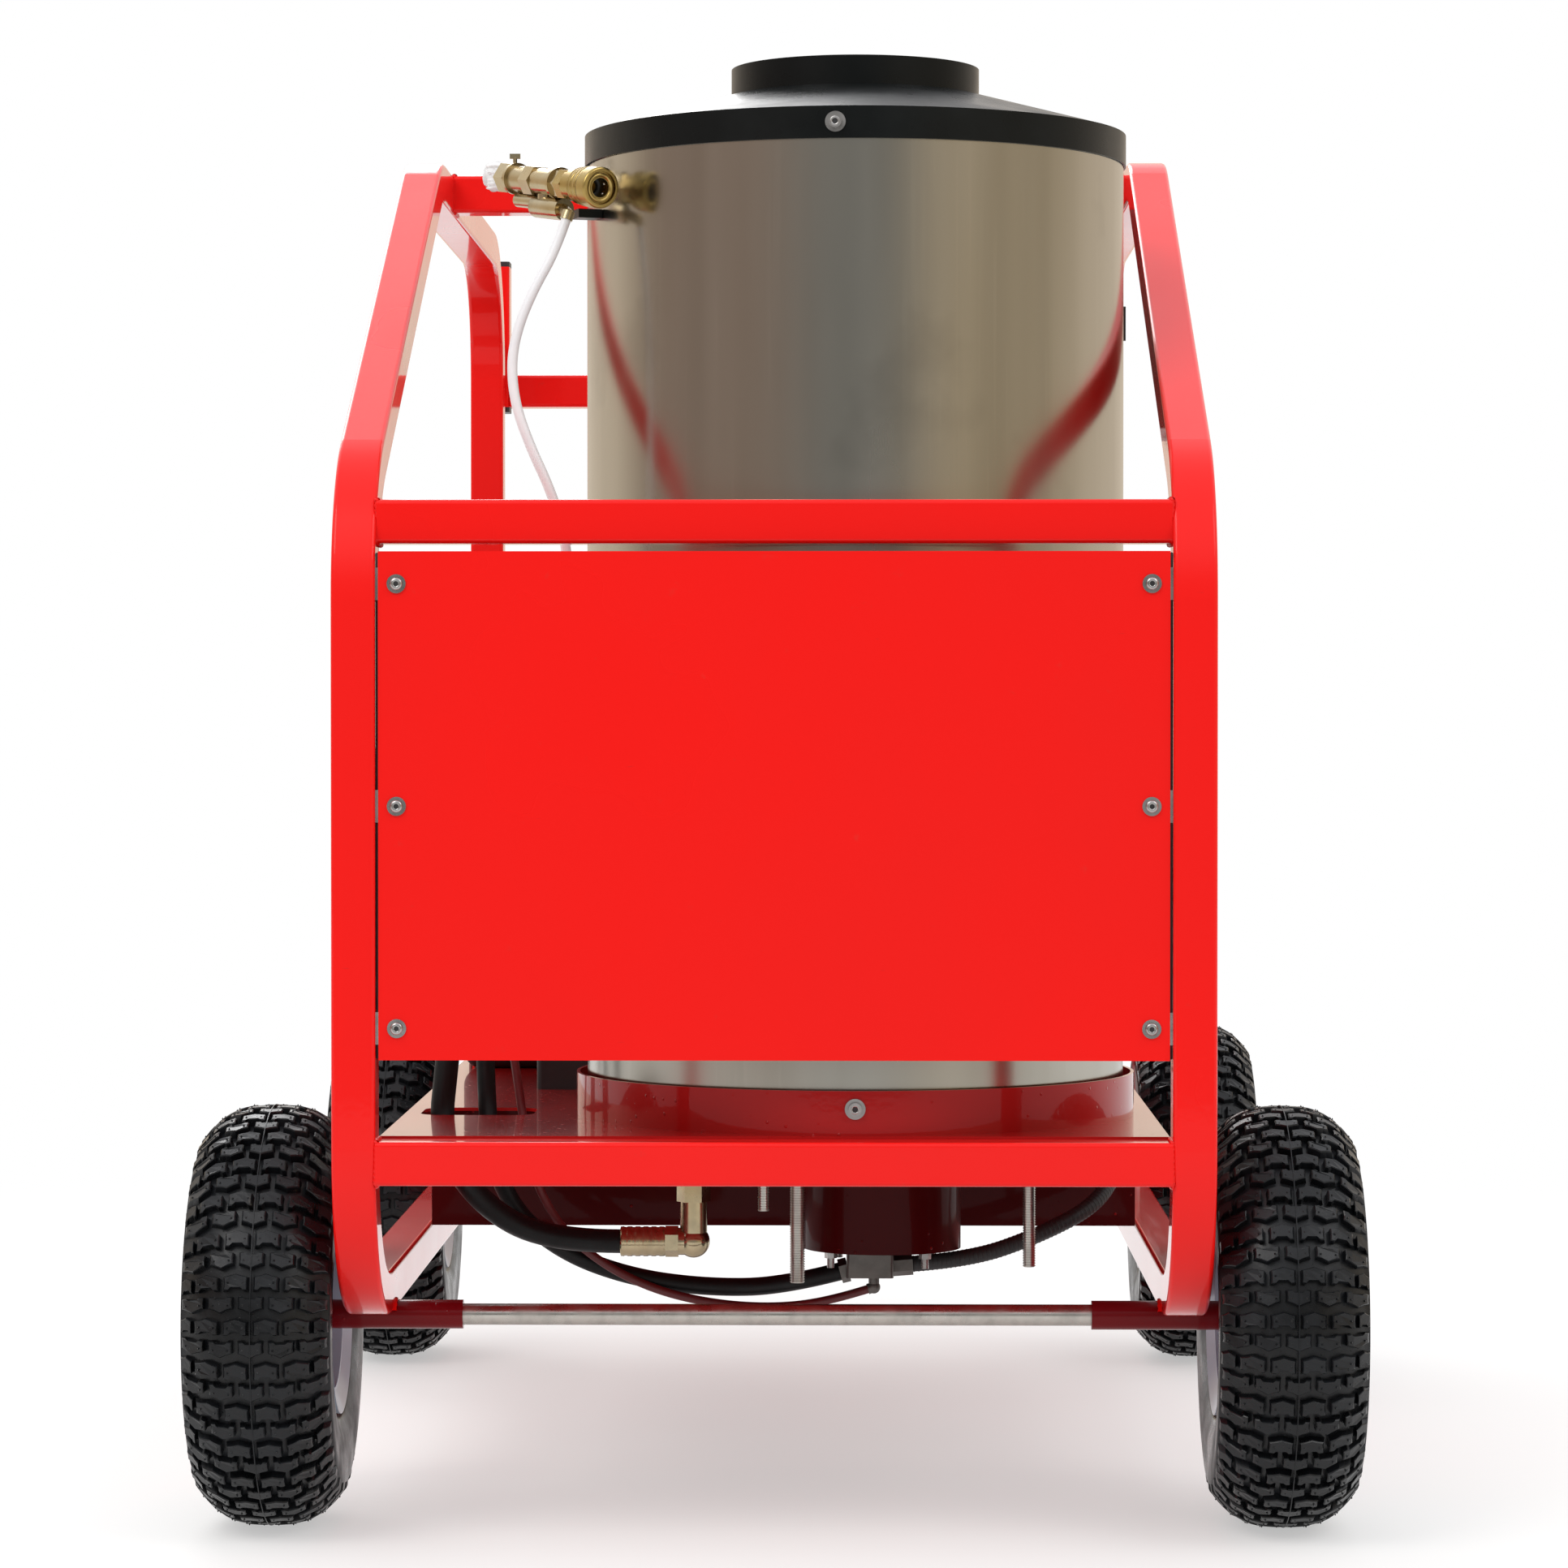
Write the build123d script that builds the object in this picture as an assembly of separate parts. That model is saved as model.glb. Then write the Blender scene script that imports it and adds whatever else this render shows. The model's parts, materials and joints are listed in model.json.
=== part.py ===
from build123d import *
import os
from math import atan2, cos, degrees, pi, radians, sin, tan

# Hot-water pressure washer on a four-wheeled tube frame.
# Millimetres. X is the width, -Y is the front with the flat panel, Z is up from the ground.
# The origin is on the ground, midway between the front posts and the back of the hose rack.

os.makedirs("parts", exist_ok=True)

# Frame tube
TUBE = 38.1
WALL = 3.0
TUBE_CORNER = 4.0
BEND = 140.0
FRONT = -833.0
BACK = 833.0
HOOP_OUT = 381.0
HOOP_IN = HOOP_OUT - TUBE
RAIL_Z = 212.0
TOP_Z = 1263.0
REAR_POST_Y = 732.0
SLOPE_Z0 = 912.6
SLOPE_Y1 = -120.0

# Deck and panel
DECK_TOP = 362.0
DECK_T = 3.0
DECK_HALF = 342.4
DECK_FRONT = FRONT + TUBE + 0.4
DECK_REAR = 712.5
PANEL_Y = FRONT + 5.0
PANEL_T = 2.0
PANEL_BOTTOM = 430.0
PANEL_TOP = 868.0
PANEL_HALF = 340.4
SCREW_X = 324.6
SCREW_Z = (457.4, 648.7, 840.0)

# Boiler
BOILER_X = 70.0
BOILER_Y = -531.0
SHELL_R = 245.8
RING_R = 256.0
RING_TOP = 400.7
LID_R = 248.0
LID_Z = 1228.0
LID_TOP = 1256.0
CONE_TOP = 1292.0
COLLAR_R = 113.5
HEIGHT = 1318.0

# Wheels and axles
TYRE_R = 188.5
TYRE_IN = 386.6
TYRE_OUT = 516.6
RIM_R = 76.2
FLANGE_R = 89.0
AXLE_R = 9.525
SLEEVE_R = 13.0
SLEEVE_IN = 282.0
SLEEVE_OUT = 410.0
FRONT_AXLE_Y = -643.0
REAR_AXLE_Y = 517.0
RUNNING = 0.05

# Drive: engine pulley at the rear, pump pulley in front of it, belts in one plane
BELT_X = 232.0
ENGINE_Y = 430.0
ENGINE_Z = 525.0
PUMP_Y = 60.0
PUMP_Z = 505.0
ENGINE_PULLEY_R = 50.0
PUMP_PULLEY_R = 110.0
BED_TOP = 404.0

# Hot-water outlet: from the elbow at A, the fittings run towards the front and right
OUT_A = Vector(-254.8, -546.9, 1219.6)
OUT_DIR = Vector(0.553, -0.821, -0.143).normalized()

# Flexible lines: diameter, then the points of the route
HOSE_D = 22.0
HOSE = [
    (-95, -62, 612), (-108, -150, 622), (-150, -240, 640), (-218, -325, 646), (-274, -410, 628),
    (-296, -480, 570), (-298, -528, 492), (-304, -548, 412), (-312, -548, 338), (-276, -536, 277),
    (-214, -520, 241), (-146, -520, 241),
]
FUEL_HOSE_D = 17.0
FUEL_HOSE = [
    (-300, -25, 420), (-300, -120, 426), (-292, -225, 446), (-288, -330, 470), (-282, -420, 482),
    (-275, -486, 452), (-271, -518, 390), (-268, -510, 326), (-250, -488, 268), (-203, -476, 226),
    (-138, -466, 201), (-66, -458, 191), (2, -455, 192), (56, -455, 206),
]
FUEL_LINE_D = 8.0
FUEL_LINE = [
    (-262, -25, 440), (-264, -80, 444), (-270, -150, 452), (-276, -230, 462), (-280, -320, 480),
    (-276, -400, 492), (-264, -462, 478), (-250, -496, 432), (-240, -502, 370), (-232, -498, 306),
    (-206, -492, 252), (-166, -484, 216), (-118, -476, 191), (-62, -470, 177), (-4, -466, 173),
    (46, -463, 179), (82, -460, 190),
]
CONDUIT_D = 15.0
CONDUIT = [
    (124, -453, 213), (178, -452, 217), (240, -446, 238), (292, -424, 262), (316, -380, 286),
    (320, -332, 316), (320, -296, 353),
]
RELIEF_D = 9.0
RELIEF = [
    (-186, -668, 1173), (-197, -672, 1140), (-216, -676, 1106), (-230, -678, 1072), (-236, -680, 1040),
    (-232, -682, 1002), (-218, -684, 964), (-202, -685, 930), (-188, -682, 888), (-184, -672, 836),
    (-188, -656, 780),
]


def save(name, shape):
    """One sub-part, one file."""
    export_step(shape, "parts/" + name + ".step")


def place(shape, origin, z_dir, x_dir=None):
    """A shape built about +Z, put at a point with its Z along a direction."""
    return Plane(origin=origin, z_dir=z_dir, x_dir=x_dir).location * shape


def box(x0, x1, y0, y1, z0, z1):
    """A box from its six limits."""
    size = Box(x1 - x0, y1 - y0, z1 - z0)
    return Pos((x0 + x1) / 2, (y0 + y1) / 2, (z0 + z1) / 2) * size


def rod(start, direction, radius, length, bore=0.0):
    """A round bar, or a tube when it has a bore, from a point along a direction."""
    bar = Cylinder(radius, length, align=(Align.CENTER, Align.CENTER, Align.MIN))
    if bore > 0:
        bar -= Cylinder(bore, length, align=(Align.CENTER, Align.CENTER, Align.MIN))
    return place(bar, start, direction)


def hexagon(start, direction, across, length, bore=0.0, turn=0.0):
    """A hexagonal bar, or a nut when it has a bore."""
    bar = extrude(Rot(0, 0, turn) * RegularPolygon(across / 2, 6, major_radius=False), length)
    if bore > 0:
        bar -= Cylinder(bore, length, align=(Align.CENTER, Align.CENTER, Align.MIN))
    return place(bar, start, direction)


def square_tube(length):
    """Frame tube along +Z, centred on its axis."""
    outer = RectangleRounded(TUBE, TUBE, TUBE_CORNER)
    inner = RectangleRounded(TUBE - 2 * WALL, TUBE - 2 * WALL, 1.5)
    return extrude(outer - inner, length)


def crossbar(y_front, z_bottom, half=HOOP_IN):
    """Frame tube across the machine between two inner faces."""
    start = (-half, y_front + TUBE / 2, z_bottom + TUBE / 2)
    return place(square_tube(2 * half), start, (1, 0, 0))


def revolved(points, axis_x=0.0, axis_y=0.0):
    """A profile of (radius, height) turned about an upright axis."""
    profile = Polyline(*[(r, 0, z) for r, z in points], close=True)
    face = make_face(profile)
    return Pos(axis_x, axis_y, 0) * revolve(face, Axis.Z)


def corner_radii(points):
    """The arc radius at each inner point: as large as the two runs beside it allow."""
    vectors = [Vector(*p) for p in points]
    radii = []
    for before, here, after in zip(vectors, vectors[1:], vectors[2:]):
        run_in = here - before
        run_out = after - here
        half_turn = radians(run_in.get_angle(run_out)) / 2
        radii.append(0.45 * min(run_in.length, run_out.length) / tan(half_turn))
    return radii


def flexible(name, points, diameter):
    """A hose, line or conduit: straight runs joined by tangent arcs."""
    radii = corner_radii(points)
    path = FilletPolyline(*points, radius=radii)
    section = Plane(origin=path @ 0, z_dir=path % 0) * Circle(diameter / 2)
    tube = sweep(section, path=path)
    ideal = pi * (diameter / 2) ** 2 * path.length
    print(name, "length", round(path.length), "least radius", round(min(radii)), "volume ratio",
          round(tube.volume / ideal, 4))
    print("   radii", [round(r) for r in radii])
    save(name, tube)


# ---------------------------------------------------------------- frame

def side_hoop(side):
    """One bent tube loop: bottom rail, front post, sloping part, top rail and rear post."""
    front_y = FRONT + TUBE / 2
    x = side * (HOOP_OUT - TUBE / 2)
    corners = [
        (x, 60, RAIL_Z), (x, front_y, RAIL_Z), (x, front_y, SLOPE_Z0),
        (x, SLOPE_Y1, TOP_Z), (x, REAR_POST_Y, TOP_Z), (x, REAR_POST_Y, RAIL_Z), (x, 60.5, RAIL_Z),
    ]
    path = FilletPolyline(*corners, radius=BEND)
    start = Plane(origin=path @ 0, x_dir=(1, 0, 0), z_dir=path % 0)
    outer = sweep(start * RectangleRounded(TUBE, TUBE, TUBE_CORNER), path=path)
    inner = sweep(start * RectangleRounded(TUBE - 2 * WALL, TUBE - 2 * WALL, 1.5), path=path)
    weld = box(x - TUBE / 2 + 1, x + TUBE / 2 - 1, 59, 61.5, RAIL_Z - TUBE / 2 + 1, RAIL_Z + TUBE / 2 - 1)
    hoop = (outer - inner) + weld
    for axle_y in (FRONT_AXLE_Y, REAR_AXLE_Y):
        hoop -= rod((side * 300, axle_y, TYRE_R), (side, 0, 0), SLEEVE_R, 200)
    return hoop


def frame_parts():
    save("side_hoop_left", side_hoop(-1))
    save("side_hoop_right", side_hoop(1))
    save("front_crossbars", Compound(children=[crossbar(FRONT + 18, 875), crossbar(FRONT, 321.8)]))
    others = [crossbar(9.5, TOP_Z - TUBE / 2)]
    for z in (321.8, 860):
        others.append(crossbar(REAR_POST_Y - TUBE / 2, z))
    save("rear_crossbars", Compound(children=others))


# ---------------------------------------------------------------- hose rack

RACK_IN = 341.0
RACK_Y = BACK - TUBE
RACK_BAR_Z = 1093.0
RACK_TOP = 1260.0


def rack_parts():
    uprights = []
    caps = []
    for side in (-1, 1):
        x = side * (RACK_IN + TUBE / 2)
        y = RACK_Y + TUBE / 2
        uprights.append(place(square_tube(RACK_TOP - RACK_BAR_Z), (x, y, RACK_BAR_Z), (0, 0, 1)))
        x0, x1 = sorted((side * (HOOP_IN + 4), side * (RACK_IN + TUBE - 3)))
        uprights.append(box(x0, x1, REAR_POST_Y + TUBE / 2, RACK_Y, 1104, 1168))
        for z, sign in ((RACK_TOP, 1), (RACK_BAR_Z, -1)):
            plate = extrude(RectangleRounded(TUBE, TUBE, TUBE_CORNER), 6.0 * sign)
            plug = extrude(RectangleRounded(TUBE - 2 * WALL - 0.4, TUBE - 2 * WALL - 0.4, 1.5), -14 * sign)
            caps.append(Pos(x, y, z) * (plate + plug))
    save("rack_uprights", Compound(children=uprights))
    save("rack_bar", crossbar(RACK_Y, RACK_BAR_Z, RACK_IN))
    save("rack_caps", Compound(children=caps))


# ---------------------------------------------------------------- deck and front panel

HOSE_SLOT_X = -276.0
HOSE_SLOT_Y = -532.0
COIL_PORT = Vector(-79.0, -520.0, DECK_TOP)
BURNER = Vector(95.0, -453.0, 229.0)
BURNER_R = 74.0


def deck_parts():
    deck = box(-DECK_HALF, DECK_HALF, DECK_FRONT, DECK_REAR, DECK_TOP - DECK_T, DECK_TOP)
    for side in (-1, 1):
        x0, x1 = sorted((side * DECK_HALF, side * (DECK_HALF - DECK_T)))
        deck += box(x0, x1, DECK_FRONT + 60, DECK_REAR - 60, DECK_TOP - 42, DECK_TOP)
    slot = extrude(Pos(HOSE_SLOT_X, HOSE_SLOT_Y, 300) * RectangleRounded(104, 84, 20), 100)
    deck -= slot
    deck -= rod(COIL_PORT - Vector(0, 0, 40), (0, 0, 1), 13, 80)
    deck -= rod((BURNER.X, BURNER.Y, 340), (0, 0, 1), BURNER_R - 8, 60)
    save("deck_pan", deck)

    bearers = []
    for x in (-95, 95):
        rail = box(x - 22, x + 22, -60, 640, DECK_TOP, BED_TOP)
        bearers.append(rail - box(x - 19, x + 19, -61, 641, DECK_TOP, BED_TOP - 3))
    lip = DECK_HALF - DECK_T - 0.4
    for y, half, bottom in ((-270, HOOP_IN - 0.3, 229.5), (-60, 300, 256), (560, 300, 256)):
        channel = box(-half, half, y, y + 44, bottom, DECK_TOP - DECK_T)
        channel -= box(-half - 1, half + 1, y + 3, y + 45, bottom + 3, DECK_TOP - DECK_T - 3)
        channel -= box(lip, 400, y - 1, y + 50, DECK_TOP - 42.4, DECK_TOP)
        channel -= box(-400, -lip, y - 1, y + 50, DECK_TOP - 42.4, DECK_TOP)
        bearers.append(channel)
    save("deck_bearers", Compound(children=bearers))

    panel = box(-PANEL_HALF, PANEL_HALF, PANEL_Y, PANEL_Y + PANEL_T, PANEL_BOTTOM, PANEL_TOP)
    fasteners = []
    for side in (-1, 1):
        for z in SCREW_Z:
            x = side * SCREW_X
            hole = rod((x, PANEL_Y - 5, z), (0, 1, 0), 3.3, 20)
            panel -= hole
            x0, x1 = sorted((side * HOOP_IN, side * (HOOP_IN - 32)))
            fasteners.append(box(x0, x1, PANEL_Y + PANEL_T, PANEL_Y + PANEL_T + 3, z - 14, z + 14) - hole)
            fasteners.append(rod((x, PANEL_Y, z), (0, -1, 0), 8.2, 1.3, 3.3))
            head = Cylinder(5.4, 3.0, align=(Align.CENTER, Align.CENTER, Align.MIN))
            head = fillet(head.edges().sort_by(Axis.Z)[-1], 1.8)
            head -= Pos(0, 0, 1.2) * extrude(RegularPolygon(2, 6, major_radius=False), 3)
            head += Pos(0, 0, -13) * Cylinder(3, 13, align=(Align.CENTER, Align.CENTER, Align.MIN))
            fasteners.append(place(head, (x, PANEL_Y - 1.3, z), (0, -1, 0)))
    save("front_panel", panel)
    save("panel_fasteners", Compound(children=fasteners))

    studs = []
    for x, y, bottom, radius in ((17, -538, 205, 6), (-14, -548, 272, 4.5), (230, -538, 220, 5)):
        stud = rod((x, y, bottom), (0, 0, 1), radius, DECK_TOP - DECK_T - bottom)
        nut = hexagon((x, y, DECK_TOP - DECK_T - 9), (0, 0, 1), radius * 3.2, 9)
        studs.append(stud + nut)
    save("deck_studs", Compound(children=studs))


# ---------------------------------------------------------------- boiler

COIL_R = 190.0
COIL_PIPE_R = 13.0


def boiler_parts():
    bottom = DECK_TOP
    ring = revolved([
        (205, bottom), (RING_R, bottom), (RING_R, RING_TOP), (RING_R - 3, RING_TOP),
        (RING_R - 3, bottom + 3), (205, bottom + 3),
    ], BOILER_X, BOILER_Y)
    save("boiler_base_ring", ring)

    shell = revolved([
        (SHELL_R - 1.5, bottom + 3), (SHELL_R, bottom + 3), (SHELL_R, LID_Z + 24),
        (SHELL_R - 1.5, LID_Z + 24),
    ], BOILER_X, BOILER_Y)
    shell -= rod(OUTLET_FOOT, OUTLET_RUN, 12, 120)
    save("boiler_shell", shell)

    lid = revolved([
        (SHELL_R + 0.4, LID_Z), (LID_R, LID_Z), (LID_R, LID_TOP), (COLLAR_R + 3, CONE_TOP),
        (COLLAR_R + 0.4, CONE_TOP), (COLLAR_R + 0.4, CONE_TOP - 3), (SHELL_R + 0.4, LID_TOP - 2.5),
    ], BOILER_X, BOILER_Y)
    save("boiler_lid", lid)

    collar = revolved([
        (COLLAR_R - 2, CONE_TOP - 12), (COLLAR_R, CONE_TOP - 12), (COLLAR_R, HEIGHT), (COLLAR_R - 2, HEIGHT),
    ], BOILER_X, BOILER_Y)
    save("flue_collar", collar)

    path = Helix(pitch=48, height=672, radius=COIL_R)
    coil = sweep(Plane(origin=path @ 0, z_dir=path % 0) * Circle(COIL_PIPE_R), path=path, is_frenet=True)
    save("heating_coil", Pos(BOILER_X, BOILER_Y, 440) * coil)

    bolts = []
    spots = (
        (-90, RING_R, 385), (30, RING_R, 385), (150, RING_R, 385), (-94, LID_R, 1242), (86, LID_R, 1242),
    )
    for angle, radius, z in spots:
        out = Vector(cos(radians(angle)), sin(radians(angle)), 0)
        foot = Vector(BOILER_X, BOILER_Y, z) + out * (radius + 0.2)
        head = rod(foot, out, 9, 1.5) + rod(foot + out * 1.5, out, 5.8, 4.5)
        head -= hexagon(foot + out * 3.5, out, 5, 3)
        bolts.append(head)
    for angle in range(40, 400, 90):
        x = BURNER.X + 62 * cos(radians(angle))
        y = BURNER.Y + 62 * sin(radians(angle))
        bolts.append(hexagon((x, y, 228.8), (0, 0, -1), 10, 6) + rod((x, y, 222.8), (0, 0, -1), 3.5, 9))
    save("boiler_bolts", Compound(children=bolts))


def line_end(points):
    """Where a route ends, and its direction there."""
    end = Vector(*points[-1])
    return end, (end - Vector(*points[-2])).normalized()


def burner_parts():
    drum = revolved([
        (0, 229), (BURNER_R, 229), (BURNER_R, DECK_TOP - DECK_T), (BURNER_R - 3, DECK_TOP - DECK_T),
        (BURNER_R - 3, 233), (0, 233),
    ], BURNER.X, BURNER.Y)
    block = box(62, 106, -478, -436, 202, 228.6)
    block = fillet(block.edges().filter_by(Axis.Z), 4)
    block += rod((BURNER.X, BURNER.Y, 228), (0, 0, 1), 9.6, 100)
    hose_end, hose_dir = line_end(FUEL_HOSE)
    block += hexagon(hose_end, hose_dir, 20, 8)
    pipe_end, pipe_dir = line_end(FUEL_LINE)
    elbow = pipe_end + pipe_dir * 6
    block += rod(pipe_end, pipe_dir, 5, 6) + Pos(elbow) * Sphere(6) + rod(elbow, (0, 0, 1), 5, 203 - elbow.Z)
    gland_end, gland_dir = line_end(CONDUIT[1::-1])
    block += hexagon(gland_end, gland_dir, 18, 20)
    save("burner_drum", drum - rod((BURNER.X, BURNER.Y, 220), (0, 0, 1), 9.6, 20))
    save("burner_nozzle", block)

    inlet = rod(COIL_PORT - Vector(0, 0, 60), (0, 0, 1), 10.5, 130)
    inlet += hexagon(COIL_PORT - Vector(0, 0, 84), (0, 0, 1), 27, 24)
    corner = COIL_PORT - Vector(0, 0, DECK_TOP - 241)
    inlet += rod(corner, (0, 0, 1), 12.5, 40)
    inlet += Pos(corner) * Sphere(15)
    inlet += rod(corner, (-1, 0, 0), 12.5, 20)
    inlet += hexagon(corner - Vector(14, 0, 0), (-1, 0, 0), 25, 12)
    ferrule = rod(corner - Vector(26, 0, 0), (-1, 0, 0), 13.2, 41)
    save("coil_inlet", Compound(children=[inlet, ferrule]))


# ---------------------------------------------------------------- hot-water outlet

OUTLET_FOOT = Vector(-160.0, -458.0, 1210.0)
OUTLET_RUN = (OUT_A - OUTLET_FOOT).normalized()


def along(distance, drop=0.0):
    """A point on the outlet's axis, measured from the elbow."""
    return OUT_A + OUT_DIR * distance - Vector(0, 0, drop)


def outlet_parts():
    pipe = rod(OUTLET_FOOT, OUTLET_RUN, 9.5, (OUT_A - OUTLET_FOOT).length)
    pipe += rod(OUT_A - Vector(0, 0, 10), (0, 0, 1), 9.8, 20)
    pipe += rod(OUT_A, OUT_DIR, 9.0, 11.8)
    steel = hexagon(along(12), OUT_DIR, 26, 16)
    steel += rod(along(28), OUT_DIR, 14.5, 3.5)
    steel += rod(along(31.5), OUT_DIR, 12, 74.5)
    steel += hexagon(along(56), OUT_DIR, 25, 16)
    steel += rod(along(106), OUT_DIR, 14.5, 3.5)
    steel += hexagon(along(109.5), OUT_DIR, 23, 8.3)
    screw_foot = along(27) + Vector(0, 0, 11)
    steel += rod(screw_foot, (0, 0, 1), 1.9, 9)
    steel += box(screw_foot.X - 4.8, screw_foot.X + 4.8, screw_foot.Y - 1.7, screw_foot.Y + 1.7,
                 screw_foot.Z + 7, screw_foot.Z + 11.5)
    save("outlet_fittings", steel)

    relief_start = along(68, 23)
    relief = rod(relief_start, OUT_DIR, 10, 48)
    relief += rod(along(34, 19), OUT_DIR, 6.5, 35)
    relief += rod(along(82, 23), (0, 0, 1), 7, 12)
    relief_end = relief_start + OUT_DIR * 46
    tube_start = Vector(*RELIEF[0])
    relief_dir = (Vector(*RELIEF[1]) - tube_start).normalized()
    relief += rod(relief_end, tube_start - relief_end, 5.5, (tube_start - relief_end).length)
    relief += rod(tube_start - relief_dir * 3, relief_dir, 5.6, 8)
    save("relief_valve", relief)

    body = hexagon(along(118), OUT_DIR, 25, 12)
    body += rod(along(130), OUT_DIR, 13.6, 49)
    body -= rod(along(149), OUT_DIR, 8.7, 40)
    save("coupler_body", body)

    sleeve = rod(along(165.5), OUT_DIR, 18.5, 15.5)
    sleeve = fillet(sleeve.edges().filter_by(GeomType.CIRCLE), 2.2)
    sleeve += rod(along(147), OUT_DIR, 16.2, 8) + rod(along(156.5), OUT_DIR, 17.4, 8)
    sleeve += rod(along(148), OUT_DIR, 15, 24)
    sleeve -= rod(along(146), OUT_DIR, 13.65, 40)
    sleeve -= rod(along(175.5), OUT_DIR, 14.7, 10)
    save("coupler_sleeve", sleeve)

    outward = Vector(-0.94, -0.342, 0).normalized()
    foot = Vector(BOILER_X, BOILER_Y, 1178) + outward * (SHELL_R + 0.4)
    saddle = place(Box(8, 22, 22, align=(Align.CENTER, Align.CENTER, Align.MIN)), foot, outward, (0, 0, 1))
    save("outlet_pipe", Compound(children=[pipe, saddle]))


# ---------------------------------------------------------------- wheels and axles

def wheel(name, side, y):
    """A tyre on a pressed steel rim, turning on the axle."""
    centre = (TYRE_IN + TYRE_OUT) / 2
    half = (TYRE_OUT - TYRE_IN) / 2
    outer = [
        (RIM_R, -50), (FLANGE_R + 3, -56), (130, -half), (160, -half + 1), (180, -half + 13),
        (TYRE_R, -half + 32), (TYRE_R, half - 32), (180, half - 13), (160, half - 1), (130, half),
        (FLANGE_R + 3, 56), (RIM_R, 50),
    ]
    inner = [
        (RIM_R, 38), (96, 45), (130, 55), (158, 54), (176, 36), (176, -36), (158, -54), (130, -55),
        (96, -45), (RIM_R, -38),
    ]
    tyre = revolved(outer + inner)
    rim = revolved([
        (66, -50), (RIM_R - 0.2, -50), (RIM_R - 0.2, 50), (66, 50), (66, 40), (60, 12), (24, 8), (24, -8),
        (60, 4), (63, 0), (66, -40),
    ])
    rim += revolved([(70, 50.4), (FLANGE_R, 57.5), (FLANGE_R, 60.5), (68, 53)])
    rim += revolved([(70, -50.4), (68, -53), (FLANGE_R, -60.5), (FLANGE_R, -57.5)])
    rim += revolved([(RIM_R - 0.2, 44), (RIM_R - 0.2, 54), (66, 54), (66, 44)])
    rim += revolved([(RIM_R - 0.2, -44), (66, -44), (66, -54), (RIM_R - 0.2, -54)])
    hub = revolved([(AXLE_R + RUNNING, -39), (24, -39), (24, 48), (AXLE_R + RUNNING, 48)])
    rim = rim + hub
    spot = Pos(side * centre, y, TYRE_R) * Rot(0, 90 * side, 0)
    save("tyre_" + name, spot * tyre)
    save("rim_" + name, spot * rim)


def running_gear():
    sleeves = []
    retainers = []
    axles = []
    for y in (FRONT_AXLE_Y, REAR_AXLE_Y):
        end = 512.0
        axle = rod((-end, y, TYRE_R), (1, 0, 0), AXLE_R, 2 * end)
        for side in (-1, 1):
            axle -= rod((side * 506.5, y, TYRE_R - 20), (0, 0, 1), 2.2, 40)
            sleeves.append(rod((side * SLEEVE_IN, y, TYRE_R), (side, 0, 0), SLEEVE_R,
                               SLEEVE_OUT - SLEEVE_IN, AXLE_R + RUNNING))
            for start, thick in ((SLEEVE_OUT + 0.1, 2.2), (500.0, 3.0)):
                retainers.append(rod((side * start, y, TYRE_R), (side, 0, 0), 17, thick, AXLE_R + RUNNING))
            retainers.append(rod((side * 506.5, y, TYRE_R - 15), (0, 0, 1), 2.1, 30))
        axles.append(axle)
    save("axles", Compound(children=axles))
    save("axle_sleeves", Compound(children=sleeves))
    save("axle_retainers", Compound(children=retainers))
    for end_name, y in (("front", FRONT_AXLE_Y), ("rear", REAR_AXLE_Y)):
        for side_name, side in (("left", -1), ("right", 1)):
            wheel(end_name + "_" + side_name, side, y)


# ---------------------------------------------------------------- engine, pump and drive

def engine_parts():
    case = box(-125, 125, 300, 560, BED_TOP, 650)
    case = fillet(case.edges().filter_by(Axis.X), 26)
    case -= box(-110, 110, 320, 540, BED_TOP + 14, 630)
    case += box(-125, 125, 306, 346, BED_TOP, BED_TOP + 12) + box(-125, 125, 514, 554, BED_TOP, BED_TOP + 12)
    case += rod((100, ENGINE_Y, ENGINE_Z), (1, 0, 0), 62, 40)
    case -= rod((90, ENGINE_Y, ENGINE_Z), (1, 0, 0), 15.06, 60)

    cylinder = box(-62, 62, 366, 494, 650, 800)
    for z in range(660, 796, 13):
        cylinder += box(-84, 84, 346, 514, z, z + 4)
    head = fillet(box(-76, 76, 352, 508, 800, 868).edges().filter_by(Axis.Z), 14)
    save("engine_block", case + cylinder + head)

    shroud = rod((-127, ENGINE_Y, 560), (-1, 0, 0), 148, 62)
    shroud = fillet(shroud.edges().sort_by(Axis.X)[0], 16)
    shroud += box(-150, -127, 330, 530, 560, 790)
    shroud -= rod((-127, ENGINE_Y, 560), (-1, 0, 0), 143, 40)
    for radius in (40, 58, 76, 94):
        shroud -= rod((-180, ENGINE_Y, 560), (-1, 0, 0), radius + 8, 12, radius)
    save("engine_shroud", shroud)

    muffler = rod((-140, 640, 770), (1, 0, 0), 58, 260)
    muffler = fillet(muffler.edges(), 14)
    muffler += rod((0, 515, 838), (0, 1, -0.35), 16, 118)
    muffler += box(-30, 30, 508.2, 520, 808, 868)
    muffler += rod((100, 640, 800), (0, 0, 1), 15, 72) - rod((100, 640, 850), (0, 0, 1), 12, 30)
    save("muffler", muffler)

    filter_box = rod((-40, 262, 800), (0, 0, 1), 62, 110)
    filter_box = fillet(filter_box.edges(), 12)
    filter_box += rod((-40, 262, 880), (0, 0, 1), 8, 42)
    filter_box += box(-60, -20, 300, 351.8, 815, 850)
    save("air_filter", filter_box)


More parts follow.
